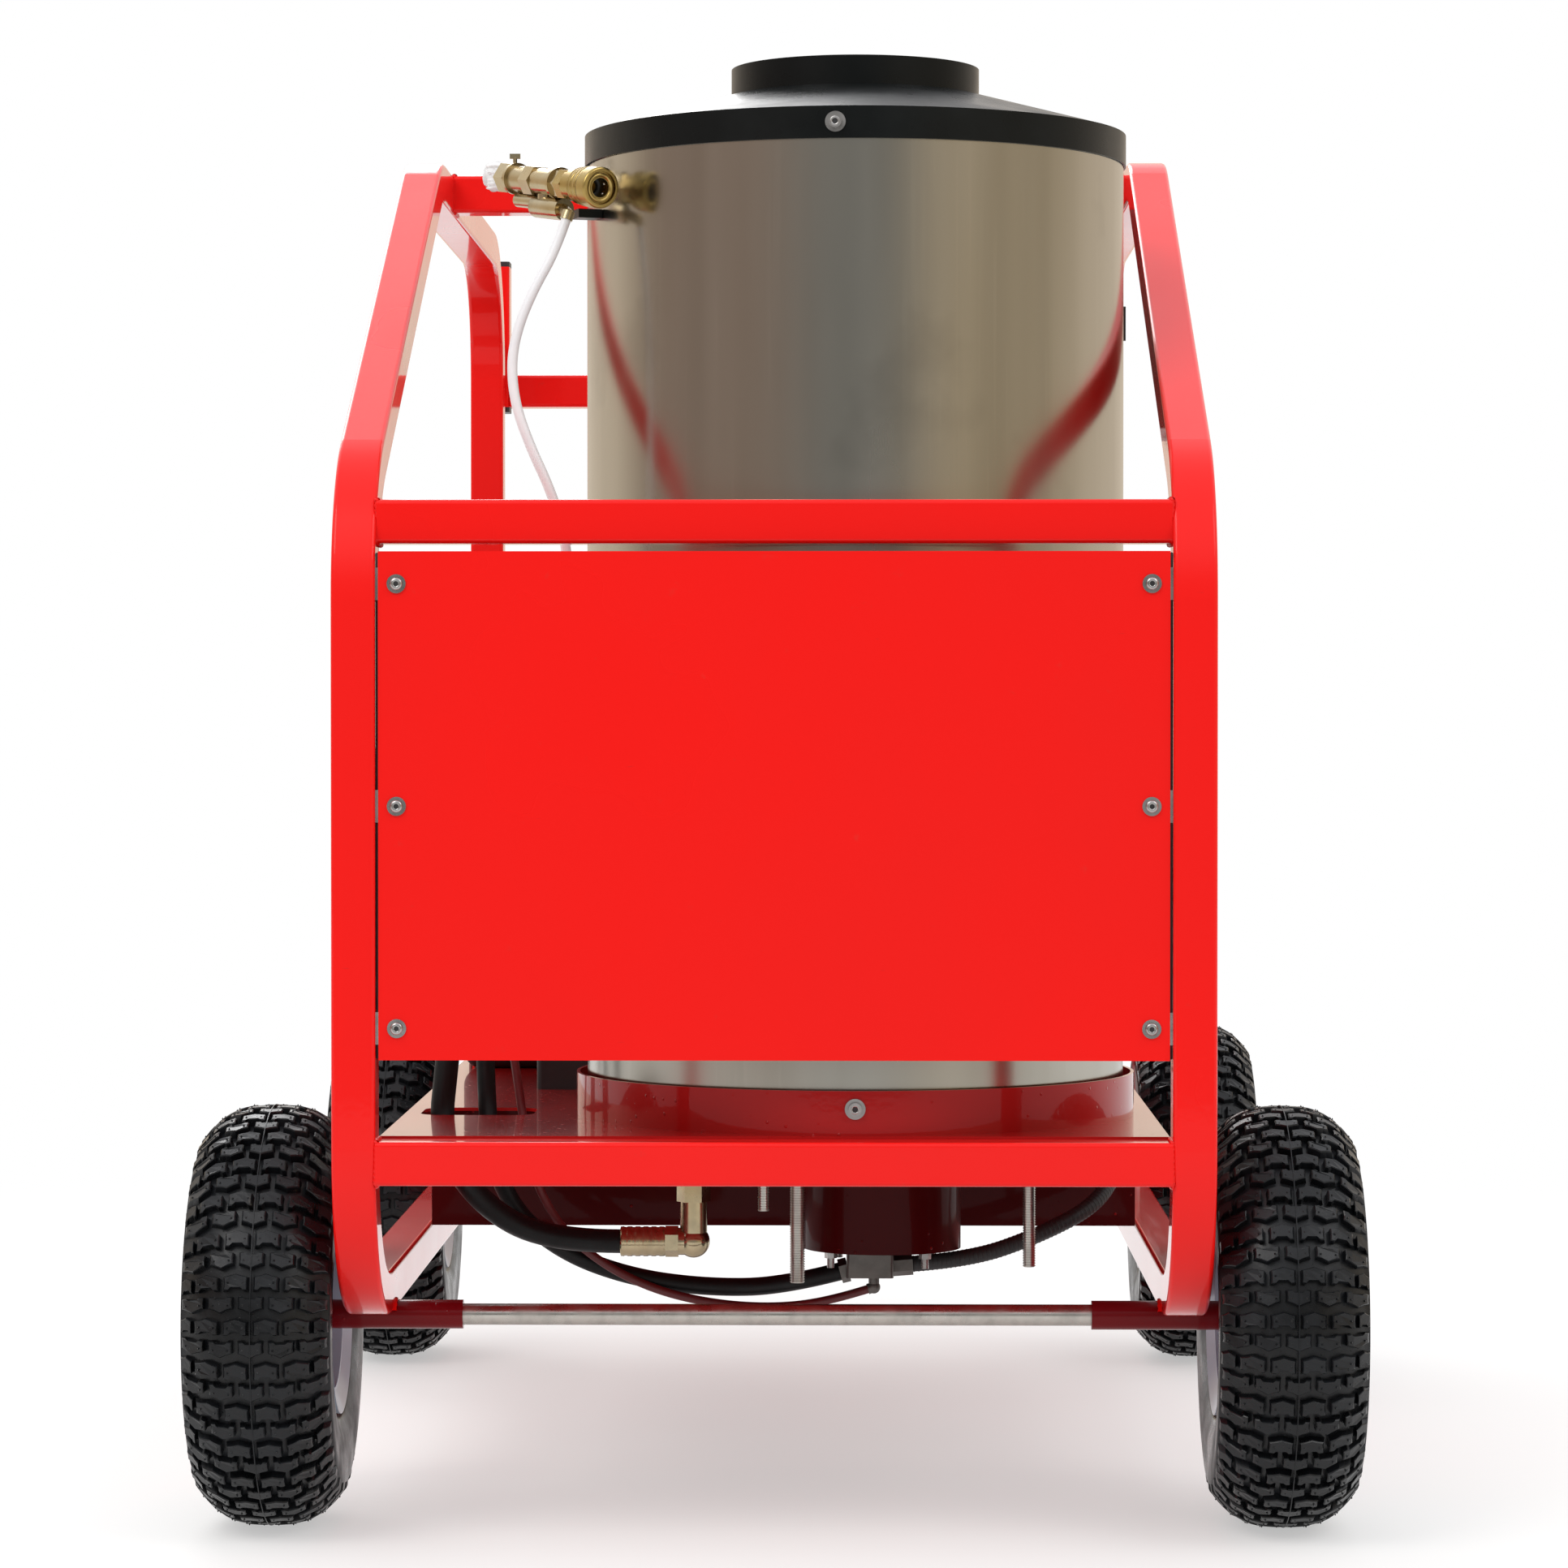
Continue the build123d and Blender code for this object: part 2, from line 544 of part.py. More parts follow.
def pulley(y, z, radius, shaft_start, bore):
    """A two-groove pulley, on its own shaft when it has no bore."""
    width = 44
    wheel_part = rod((BELT_X - width / 2, y, z), (1, 0, 0), radius + 6, width)
    for groove_x in (BELT_X - 10, BELT_X + 10):
        wheel_part -= rod((groove_x - 6.8, y, z), (1, 0, 0), radius + 10, 13.6, radius - 6)
    for angle in range(0, 360, 90):
        if radius > 80:
            hole_y = y + 62 * cos(radians(angle))
            hole_z = z + 62 * sin(radians(angle))
            wheel_part -= rod((BELT_X - 30, hole_y, hole_z), (1, 0, 0), 18, 60)
    wheel_part += rod((shaft_start, y, z), (1, 0, 0), bore, BELT_X + 30 - shaft_start)
    return wheel_part


def belt(groove_x):
    """One belt round both pulleys, lying in its grooves."""
    gap = 0.4
    small = ENGINE_PULLEY_R - 6 + gap
    large = PUMP_PULLEY_R - 6 + gap
    thick = 8.0

    def outline(extra):
        circle_a = Pos(PUMP_Y, PUMP_Z) * Circle(large + extra)
        circle_b = Pos(ENGINE_Y, ENGINE_Z) * Circle(small + extra)
        distance = Vector(ENGINE_Y - PUMP_Y, ENGINE_Z - PUMP_Z).length
        tilt = atan2(ENGINE_Z - PUMP_Z, ENGINE_Y - PUMP_Y)
        spread = pi / 2 - (large - small) / distance
        corners = []
        for sign in (1, -1):
            a = tilt + sign * spread
            corners.append((PUMP_Y + (large + extra) * cos(a), PUMP_Z + (large + extra) * sin(a)))
            corners.append((ENGINE_Y + (small + extra) * cos(a), ENGINE_Z + (small + extra) * sin(a)))
        middle = make_face(Polyline(corners[0], corners[1], corners[3], corners[2], close=True))
        return circle_a + circle_b + middle

    ring = extrude(outline(thick) - outline(0), 12)
    return Plane(origin=(groove_x - 6, 0, 0), x_dir=(0, 1, 0), z_dir=(1, 0, 0)).location * ring


def drive_parts():
    save("engine_pulley", pulley(ENGINE_Y, ENGINE_Z, ENGINE_PULLEY_R, 92, 15))
    save("pump_pulley", pulley(PUMP_Y, PUMP_Z, PUMP_PULLEY_R, 132, 12))
    save("drive_belts", Compound(children=[belt(BELT_X - 10), belt(BELT_X + 10)]))

    def guard_outline(extra):
        a = Pos(PUMP_Y, PUMP_Z) * Circle(PUMP_PULLEY_R + 22 + extra)
        b = Pos(ENGINE_Y, ENGINE_Z) * Circle(ENGINE_PULLEY_R + 26 + extra)
        return make_hull((a + b).edges())

    plane = Plane(origin=(192, 0, 0), x_dir=(0, 1, 0), z_dir=(1, 0, 0)).location
    guard = plane * extrude(guard_outline(0), 86)
    guard -= plane * extrude(guard_outline(-2.5), 83.5)
    for row in range(5):
        for column in range(9):
            y = PUMP_Y - 40 + column * 48
            z = PUMP_Z - 52 + row * 26
            if row in (0, 4) and column > 5:
                continue
            guard -= box(270, 285, y - 14, y + 14, z - 5, z + 5)
    guard += box(200, 270, 40, 80, DECK_TOP, 376)
    guard += box(200, 270, 300, 304, DECK_TOP, 434)
    save("belt_guard", guard)


def pump_parts():
    crank = box(-52, 130, -22, 142, BED_TOP, 590)
    crank = fillet(crank.edges().filter_by(Axis.X), 22)
    crank += rod((120, PUMP_Y, PUMP_Z), (1, 0, 0), 42, 22)
    crank -= rod((60, PUMP_Y, PUMP_Z), (1, 0, 0), 12.05, 120)
    for y in (-2, 60, 122):
        crank += rod((40, y, 585), (0, 0, 1), 9, 14)
    crank += rod((40, 60, 596), (0, 0, 1), 11, 16)
    save("pump_crankcase", crank)

    manifold = box(-128, -52.2, -30, 150, 440, 575)
    manifold = fillet(manifold.edges().filter_by(Axis.X), 9)
    for y in (0, 60, 120):
        manifold += hexagon((-128, y, 545), (-1, 0, 0), 24, 9)
        manifold += hexagon((-128, y, 472), (-1, 0, 0), 24, 9)
    manifold += hexagon((-95, -30, 470), (0, -1, 0), 32, 20)
    manifold -= rod((-95, -50.1, 470), (0, 1, 0), 10.5, 24)
    save("pump_manifold", manifold)

    valve = rod((-95, -8, 575.2), (0, 0, 1), 17, 70)
    valve += hexagon((-95, -8, 600), (0, 0, 1), 38, 24)
    valve += hexagon((-95, -22, 612), (0, -1, 0), 22, 22)
    valve += rod((-95, -44, 612), (0, -1, 0), 11.6, 18)
    valve += rod((-95, -8, 645), (0, 0, 1), 7, 24)
    save("unloader_valve", valve)
    knob = Cylinder(19, 30, align=(Align.CENTER, Align.CENTER, Align.MIN))
    knob = fillet(knob.edges().sort_by(Axis.Z)[-1], 5)
    for angle in range(0, 360, 45):
        knob -= Rot(0, 0, angle) * Pos(21.5, 0, 0) * Cylinder(5, 80)
    knob -= Cylinder(7.05, 14, align=(Align.CENTER, Align.CENTER, Align.MIN))
    save("unloader_knob", Pos(-95, -8, 656) * knob)


# ---------------------------------------------------------------- tank, battery and controls

TANK = (-334.0, -216.0, 0.0, 640.0, DECK_TOP, 690.0)
BATTERY = (-240.0, -110.0, -272.0, -76.0, DECK_TOP, 547.0)
CONTROL = (215.0, 335.0, -20.0, 230.0, 1020.0, TOP_Z - TUBE / 2)


def tank_parts():
    tank = fillet(box(*TANK).edges(), 18)
    x0, x1, y0, y1, z0, z1 = TANK
    hollow = fillet(box(x0 + 5, x1 - 5, y0 + 5, y1 - 5, z0 + 5, z1 - 5).edges(), 13)
    tank -= hollow
    neck_x = (x0 + x1) / 2
    neck_y = 470.0
    tank += rod((neck_x, neck_y, z1 - 6), (0, 0, 1), 33, 26)
    tank -= rod((neck_x, neck_y, z1 - 20), (0, 0, 1), 27, 60)
    tank += hexagon((-300, 2, 420), (0, -1, 0), 22, 27)
    tank += hexagon((-262, 2, 440), (0, -1, 0), 15, 27)
    save("fuel_tank", tank)
    cap = rod((neck_x, neck_y, z1 + 6.3), (0, 0, 1), 42, 25)
    cap = fillet(cap.edges().sort_by(Axis.Z)[-1], 5)
    cap -= rod((neck_x, neck_y, z1 + 6), (0, 0, 1), 33.1, 15)
    for angle in range(0, 360, 30):
        cap -= Pos(neck_x, neck_y, z1 + 18) * Rot(0, 0, angle) * Pos(44, 0, 0) * Cylinder(4, 40)
    save("fuel_cap", cap)

    x0, x1, y0, y1, z0, z1 = BATTERY
    case = fillet(box(x0, x1, y0, y1, z0, z1 - 18).edges().filter_by(Axis.Z), 5)
    case += fillet(box(x0 - 3, x1 + 3, y0 - 3, y1 + 3, z1 - 18, z1).edges().filter_by(Axis.Z), 6)
    posts = [rod((x, y0 + 24, z1), (0, 0, 1), 8, 16) + box(x - 14, x + 14, y0 + 12, y0 + 36, z1 + 2, z1 + 12)
             for x in (x0 + 26, x1 - 26)]
    save("battery", Compound(children=[case] + posts))


def control_parts():
    x0, x1, y0, y1, z0, z1 = CONTROL
    case = box(x0, x1, y0, y1, z0, z1)
    case = fillet(case.edges().filter_by(Axis.X), 8)
    case -= box(x0 + 2, x1 - 2, y0 + 2, y1 - 2, z0 + 2, z1 - 4)
    knob_y = 150.0
    switch_y = 55.0
    case -= rod((x1 - 5, knob_y, 1140), (1, 0, 0), 4.05, 10)
    case -= box(x1 - 5, x1 + 5, switch_y - 12, switch_y + 12, 1126, 1154)
    save("control_box", case)
    knob = rod((x1 + 0.4, knob_y, 1140), (1, 0, 0), 22, 16)
    knob = fillet(knob.edges().sort_by(Axis.X)[-1], 3)
    knob += box(x1 + 14, x1 + 21, knob_y - 3, knob_y + 3, 1122, 1158)
    knob += rod((x1 - 14, knob_y, 1140), (1, 0, 0), 4, 16)
    save("thermostat_knob", knob)
    rocker = rod((x1 - 2, switch_y - 10.5, 1140), (0, 1, 0), 11, 21)
    rocker -= box(x1 - 20, x1 - 6, switch_y - 12, switch_y + 12, 1120, 1160)
    save("burner_switch", rocker)


frame_parts()
rack_parts()
deck_parts()
boiler_parts()
burner_parts()
outlet_parts()
running_gear()
engine_parts()
drive_parts()
pump_parts()
tank_parts()
control_parts()
flexible("pressure_hose", HOSE, HOSE_D)
flexible("fuel_hose", FUEL_HOSE, FUEL_HOSE_D)
flexible("fuel_line", FUEL_LINE, FUEL_LINE_D)
flexible("burner_conduit", CONDUIT, CONDUIT_D)
flexible("relief_tube", RELIEF, RELIEF_D)
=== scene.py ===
import json
import math
import random

import bmesh
import bpy
from mathutils import Matrix, Vector, geometry


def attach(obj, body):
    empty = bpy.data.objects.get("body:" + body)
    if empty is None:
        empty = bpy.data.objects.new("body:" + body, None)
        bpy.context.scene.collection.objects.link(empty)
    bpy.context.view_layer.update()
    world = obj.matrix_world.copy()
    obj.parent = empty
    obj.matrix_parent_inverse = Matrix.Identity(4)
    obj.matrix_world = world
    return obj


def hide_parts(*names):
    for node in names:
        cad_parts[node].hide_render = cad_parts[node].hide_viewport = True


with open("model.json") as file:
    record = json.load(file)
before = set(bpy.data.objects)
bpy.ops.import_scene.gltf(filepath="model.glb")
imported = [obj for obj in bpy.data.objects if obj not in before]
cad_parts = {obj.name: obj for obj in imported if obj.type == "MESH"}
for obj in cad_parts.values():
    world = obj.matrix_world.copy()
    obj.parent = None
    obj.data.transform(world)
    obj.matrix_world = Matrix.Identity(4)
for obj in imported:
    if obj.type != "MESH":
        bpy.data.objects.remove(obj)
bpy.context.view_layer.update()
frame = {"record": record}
random.seed(7)

# Sizes that are shared with the CAD part, in metres. X is the width, -Y the front and Z is up.
TUBE = 0.0381
HOOP_OUT = 0.381
HOOP_IN = 0.3429
WHEEL_X = 0.4516
TYRE_R = 0.1885
AXLES = (("front", -0.643), ("rear", 0.517))
SIDES = (("left", -1), ("right", 1))
BOILER_AXIS = Vector((0.070, -0.531, 0))


# ------------------------------------------------------------------ camera, floor and light

EYE = Vector((0.068, -5.0255, 0.7297))
GAZE = Vector((-0.0141, 0.99979, -0.0147))
FOCAL_LENGTH = 112.2


def set_camera():
    """The camera of the main view, at the front."""
    data = bpy.data.cameras.new("camera")
    data.lens = FOCAL_LENGTH
    data.sensor_width = 36
    data.clip_end = 100
    camera = bpy.data.objects.new("camera", data)
    camera.location = EYE
    camera.rotation_euler = GAZE.to_track_quat("-Z", "Y").to_euler()
    bpy.context.scene.collection.objects.link(camera)
    bpy.context.scene.camera = camera


def area_light(name, place, target, size, power, colour=(1, 1, 1)):
    """A soft box at a place, facing a target."""
    data = bpy.data.lights.new(name, "AREA")
    data.shape = "RECTANGLE"
    data.size = size[0]
    data.size_y = size[1]
    data.energy = power
    data.color = colour
    lamp = bpy.data.objects.new(name, data)
    lamp.location = place
    lamp.rotation_euler = (Vector(target) - Vector(place)).to_track_quat("-Z", "Y").to_euler()
    bpy.context.scene.collection.objects.link(lamp)


def set_world():
    """White behind the object, and a soft room for what the metal reflects: bright above and behind it."""
    world = bpy.data.worlds.new("studio")
    bpy.context.scene.world = world
    world.use_nodes = True
    nodes = world.node_tree.nodes
    links = world.node_tree.links
    nodes.clear()
    where = nodes.new("ShaderNodeTexCoord")
    split = nodes.new("ShaderNodeSeparateXYZ")
    links.new(where.outputs["Generated"], split.inputs[0])

    def span(axis, low, high):
        node = nodes.new("ShaderNodeMapRange")
        node.interpolation_type = "SMOOTHSTEP"
        node.inputs["From Min"].default_value = low
        node.inputs["From Max"].default_value = high
        links.new(split.outputs[axis], node.inputs["Value"])
        return node.outputs[0]

    def blend(factor, first, second):
        node = nodes.new("ShaderNodeMix")
        node.data_type = "RGBA"
        links.new(factor, node.inputs["Factor"])
        for socket, value in ((node.inputs["A"], first), (node.inputs["B"], second)):
            if isinstance(value, tuple):
                socket.default_value = (*value, 1)
            else:
                links.new(value, socket)
        return node.outputs["Result"]

    left = blend(span("X", -0.75, -0.15), (0.40, 0.30, 0.25), (0.25, 0.25, 0.24))
    front = blend(span("X", 0.20, 0.65), left, (0.62, 0.51, 0.36))
    horizon = blend(span("Y", -0.10, 0.60), front, (0.86, 0.74, 0.60))
    room_colour = blend(span("Z", 0.10, 0.60), horizon, (1.05, 1.06, 1.10))
    room = nodes.new("ShaderNodeBackground")
    white = nodes.new("ShaderNodeBackground")
    links.new(room_colour, room.inputs[0])
    white.inputs[0].default_value = (1, 1, 1, 1)
    mix = nodes.new("ShaderNodeMixShader")
    rays = nodes.new("ShaderNodeLightPath")
    out = nodes.new("ShaderNodeOutputWorld")
    links.new(rays.outputs["Is Camera Ray"], mix.inputs[0])
    links.new(room.outputs[0], mix.inputs[1])
    links.new(white.outputs[0], mix.inputs[2])
    links.new(mix.outputs[0], out.inputs[0])


def set_floor():
    """A white floor that takes a soft shadow near the machine and melts into the background further out."""
    mesh = bpy.data.meshes.new("floor")
    side, near, far = 14.0, -5.6, 14.0
    mesh.from_pydata([(-side, near, 0), (side, near, 0), (side, far, 0), (-side, far, 0)], [], [(0, 1, 2, 3)])
    floor = bpy.data.objects.new("floor", mesh)
    bpy.context.scene.collection.objects.link(floor)
    floor.location.z = -0.0005
    material = bpy.data.materials.new("floor")
    material.use_nodes = True
    nodes = material.node_tree.nodes
    links = material.node_tree.links
    shader = nodes["Principled BSDF"]
    shader.inputs["Base Color"].default_value = (0.93, 0.92, 0.90, 1)
    shader.inputs["Roughness"].default_value = 0.85
    where = nodes.new("ShaderNodeTexCoord")
    distance = nodes.new("ShaderNodeVectorMath")
    distance.operation = "LENGTH"
    links.new(where.outputs["Object"], distance.inputs[0])
    fade = nodes.new("ShaderNodeMapRange")
    fade.interpolation_type = "SMOOTHSTEP"
    fade.inputs["From Min"].default_value = 0.5
    fade.inputs["From Max"].default_value = 2.8
    fade.inputs["To Min"].default_value = 0.45
    links.new(distance.outputs["Value"], fade.inputs["Value"])
    glow = nodes.new("ShaderNodeEmission")
    glow.inputs["Color"].default_value = (1, 1, 1, 1)
    mix = nodes.new("ShaderNodeMixShader")
    links.new(fade.outputs[0], mix.inputs[0])
    links.new(shader.outputs[0], mix.inputs[1])
    links.new(glow.outputs[0], mix.inputs[2])
    links.new(mix.outputs[0], nodes["Material Output"].inputs["Surface"])
    mesh.materials.append(material)


bpy.context.scene.view_settings.view_transform = "Standard"
set_camera()
set_world()
set_floor()
area_light("key", (-2.4, -3.6, 4.2), (0, -0.6, 0.7), (2.4, 2.4), 84, (1.0, 0.98, 0.95))
area_light("right", (3.2, -3.0, 3.8), (0, -0.4, 0.7), (2.4, 2.4), 46)
area_light("rear", (-1.5, 4.2, 3.6), (0, 0.3, 0.7), (3.0, 2.4), 90)


# ------------------------------------------------------------------ materials

class Look:
    """A procedural material: a principled shader with helpers for its textures."""

    def __init__(self, name, colour, roughness, metallic=0.0, coat=0.0, coat_roughness=0.05, specular=0.5):
        self.material = bpy.data.materials.new(name)
        self.material.use_nodes = True
        self.tree = self.material.node_tree
        self.nodes = self.tree.nodes
        self.links = self.tree.links
        self.shader = self.nodes["Principled BSDF"]
        self.shader.inputs["Base Color"].default_value = (*colour, 1)
        self.shader.inputs["Roughness"].default_value = roughness
        self.shader.inputs["Metallic"].default_value = metallic
        self.shader.inputs["Coat Weight"].default_value = coat
        self.shader.inputs["Coat Roughness"].default_value = coat_roughness
        self.shader.inputs["Specular IOR Level"].default_value = specular
        self.colour = (*colour, 1)
        self.where = self.nodes.new("ShaderNodeTexCoord").outputs["Object"]
        self.height = None

    def mapping(self, scale):
        """The object's own coordinates, stretched."""
        node = self.nodes.new("ShaderNodeMapping")
        node.inputs["Scale"].default_value = scale
        self.links.new(self.where, node.inputs["Vector"])
        return node.outputs[0]

    def noise(self, scale, stretch=(1, 1, 1), detail=4.0, rough=0.55):
        node = self.nodes.new("ShaderNodeTexNoise")
        node.inputs["Scale"].default_value = scale
        node.inputs["Detail"].default_value = detail
        node.inputs["Roughness"].default_value = rough
        self.links.new(self.mapping(stretch), node.inputs["Vector"])
        return node.outputs["Fac"]

    def ramp(self, source, low, high, low_value=0.0, high_value=1.0):
        """A mask that runs from low_value to high_value while the source goes from low to high."""
        node = self.nodes.new("ShaderNodeMapRange")
        node.inputs["From Min"].default_value = low
        node.inputs["From Max"].default_value = high
        node.inputs["To Min"].default_value = low_value
        node.inputs["To Max"].default_value = high_value
        self.links.new(source, node.inputs["Value"])
        return node.outputs[0]

    def math(self, operation, a, b):
        node = self.nodes.new("ShaderNodeMath")
        node.operation = operation
        for socket, value in zip(node.inputs, (a, b)):
            if isinstance(value, float):
                socket.default_value = value
            else:
                self.links.new(value, socket)
        return node.outputs[0]

    def paint(self, mask, colour):
        """Mixes a colour over what is there, where the mask is high."""
        mix = self.nodes.new("ShaderNodeMix")
        mix.data_type = "RGBA"
        mix.inputs["B"].default_value = (*colour, 1)
        socket = self.shader.inputs["Base Color"]
        if socket.is_linked:
            self.links.new(socket.links[0].from_socket, mix.inputs["A"])
        else:
            mix.inputs["A"].default_value = self.colour
        self.links.new(mask, mix.inputs["Factor"])
        self.links.new(mix.outputs["Result"], socket)

    def rough(self, source, low, high):
        self.links.new(self.ramp(source, 0.3, 0.7, low, high), self.shader.inputs["Roughness"])

    def bump(self, source, strength, distance):
        """Adds relief on top of the relief that is there."""
        node = self.nodes.new("ShaderNodeBump")
        node.inputs["Strength"].default_value = strength
        node.inputs["Distance"].default_value = distance
        self.links.new(source, node.inputs["Height"])
        if self.height is not None:
            self.links.new(self.height, node.inputs["Normal"])
        self.height = node.outputs[0]
        self.links.new(self.height, self.shader.inputs["Normal"])

    def coat_bump(self):
        """The clear coat follows the same small waves as the paint under it."""
        self.links.new(self.height, self.shader.inputs["Coat Normal"])


def specks(look, scale, edge):
    """Small scattered dots, as drops or grit."""
    node = look.nodes.new("ShaderNodeTexVoronoi")
    node.inputs["Scale"].default_value = scale
    look.links.new(look.where, node.inputs["Vector"])
    return look.ramp(node.outputs["Distance"], edge, edge * 0.6)


RED = (0.86, 0.008, 0.006)
DARK_RED = (0.30, 0.004, 0.004)


def red_paint(name, drops, colour=RED, coat=1.0, specular=0.12):
    """Gloss paint: clear face on, and reflecting at a low angle."""
    look = Look(name, colour, 0.30, coat=coat, coat_roughness=0.04, specular=specular)
    look.shader.inputs["Coat IOR"].default_value = 1.22
    broad = look.noise(3.0, detail=3)
    look.paint(look.ramp(broad, 0.35, 0.75, 0.0, 0.35), tuple(c * 0.85 for c in colour))
    dust = look.noise(38, detail=8, rough=0.7)
    look.paint(look.ramp(dust, 0.66, 0.80, 0.0, 0.35), (0.55, 0.06, 0.04))
    scratch = look.noise(26, stretch=(1, 1, 14), detail=5)
    look.paint(look.ramp(scratch, 0.74, 0.78, 0.0, 0.5), (0.42, 0.03, 0.03))
    look.rough(broad, 0.24, 0.40)
    look.bump(look.noise(140, detail=2), 0.05, 0.0006)
    if drops:
        dots = specks(look, 95, 0.16)
        masked = look.math("MULTIPLY", dots, look.ramp(look.noise(9), 0.52, 0.60))
        look.bump(masked, 0.5, 0.0012)
        look.paint(look.ramp(masked, 0.2, 1.0, 0.0, 0.6), DARK_RED)
    look.coat_bump()
    return look.material


def stainless():
    """Rolled stainless sheet with upright bands, fine brushing and smudges."""
    look = Look("stainless", (0.46, 0.44, 0.39), 0.22, metallic=1.0)
    bands = look.noise(7.0, stretch=(1, 1, 0.03), detail=3)
    look.paint(look.ramp(bands, 0.35, 0.72), (0.31, 0.29, 0.245))
    fine = look.noise(160, stretch=(1, 1, 0.02), detail=4)
    look.paint(look.ramp(fine, 0.55, 0.8, 0.0, 0.3), (0.48, 0.46, 0.41))
    smudge = look.noise(6, detail=5, rough=0.5)
    look.paint(look.ramp(smudge, 0.60, 0.74, 0.0, 0.30), (0.20, 0.185, 0.16))
    look.rough(look.noise(5, stretch=(1, 1, 0.15), detail=5), 0.15, 0.28)
    look.bump(fine, 0.04, 0.0002)
    look.bump(look.noise(4, stretch=(1, 1, 0.3), detail=1), 0.12, 0.01)
    look.shader.inputs["Anisotropic"].default_value = 0.4
    return look.material


def bare_metal(name, colour, roughness, tint=None, bump=0.15, scale=60):
    """Unpainted or plated metal, mottled, with an optional second tint."""
    look = Look(name, colour, roughness, metallic=1.0)
    grain = look.noise(scale, detail=6)
    darker = tuple(c * 0.55 for c in colour)
    look.paint(look.ramp(grain, 0.45, 0.75, 0.0, 0.6), darker)
    if tint:
        look.paint(look.ramp(look.noise(11, detail=3), 0.40, 0.62, 0.0, 0.8), tint)
    look.rough(look.noise(scale * 0.6), roughness * 0.7, min(1.0, roughness * 1.5))
    look.bump(grain, bump, 0.0006)
    return look.material


def enamel(name, colour, roughness, coat=0.3, scale=90, specular=0.5, lift=0.02):
    """Sprayed enamel with a fine orange-peel grain."""
    look = Look(name, colour, roughness, coat=coat, coat_roughness=0.12, specular=specular)
    grain = look.noise(scale, detail=5)
    lighter = tuple(min(1.0, c * 1.8 + lift) for c in colour)
    look.paint(look.ramp(look.noise(7, detail=6), 0.50, 0.75, 0.0, 0.5), lighter)
    look.rough(look.noise(16), roughness * 0.8, roughness * 1.3)
    look.bump(grain, 0.12, 0.0005)
    return look.material


def plastic(name, colour, roughness, scale=220, bump=0.25):
    """Moulded plastic with a grained skin."""
    look = Look(name, colour, roughness)
    grain = look.noise(scale, detail=3)
    lighter = tuple(min(1.0, c * 1.6 + 0.012) for c in colour)
    look.paint(look.ramp(look.noise(12, detail=6), 0.45, 0.75, 0.0, 0.6), lighter)
    look.rough(look.noise(20), roughness * 0.8, min(1.0, roughness * 1.25))
    look.bump(grain, bump, 0.0004)
    return look.material


def wet_rubber():
    """Tyre rubber with a glossy film, small drops and a little dried mud."""
    look = Look("tread_rubber", (0.0045, 0.005, 0.006), 0.30, specular=0.32)
    film = look.noise(18, detail=6, rough=0.6)
    look.paint(look.ramp(film, 0.45, 0.70, 0.0, 0.7), (0.010, 0.012, 0.015))
    mud = look.noise(30, detail=8, rough=0.7)
    look.paint(look.ramp(mud, 0.68, 0.80, 0.0, 0.5), (0.20, 0.16, 0.11))
    look.rough(film, 0.16, 0.50)
    look.bump(look.noise(260, detail=4), 0.25, 0.0006)
    look.bump(specks(look, 150, 0.14), 0.35, 0.0008)
    return look.material


def hose_look(name, colour, specular=0.5):
    """Hose cover with a faint cloth pattern."""
    look = Look(name, colour, 0.45, specular=specular)
    wave = look.nodes.new("ShaderNodeTexWave")
    wave.inputs["Scale"].default_value = 90
    wave.inputs["Distortion"].default_value = 1.5
    look.links.new(look.where, wave.inputs["Vector"])
    lighter = tuple(min(1, c * 2.0 + 0.004) for c in colour)
    look.paint(look.ramp(look.noise(25, detail=5), 0.5, 0.75, 0.0, 0.6), lighter)
    look.rough(look.noise(30), 0.34, 0.6)
    look.bump(wave.outputs["Fac"], 0.12, 0.0004)
    return look.material


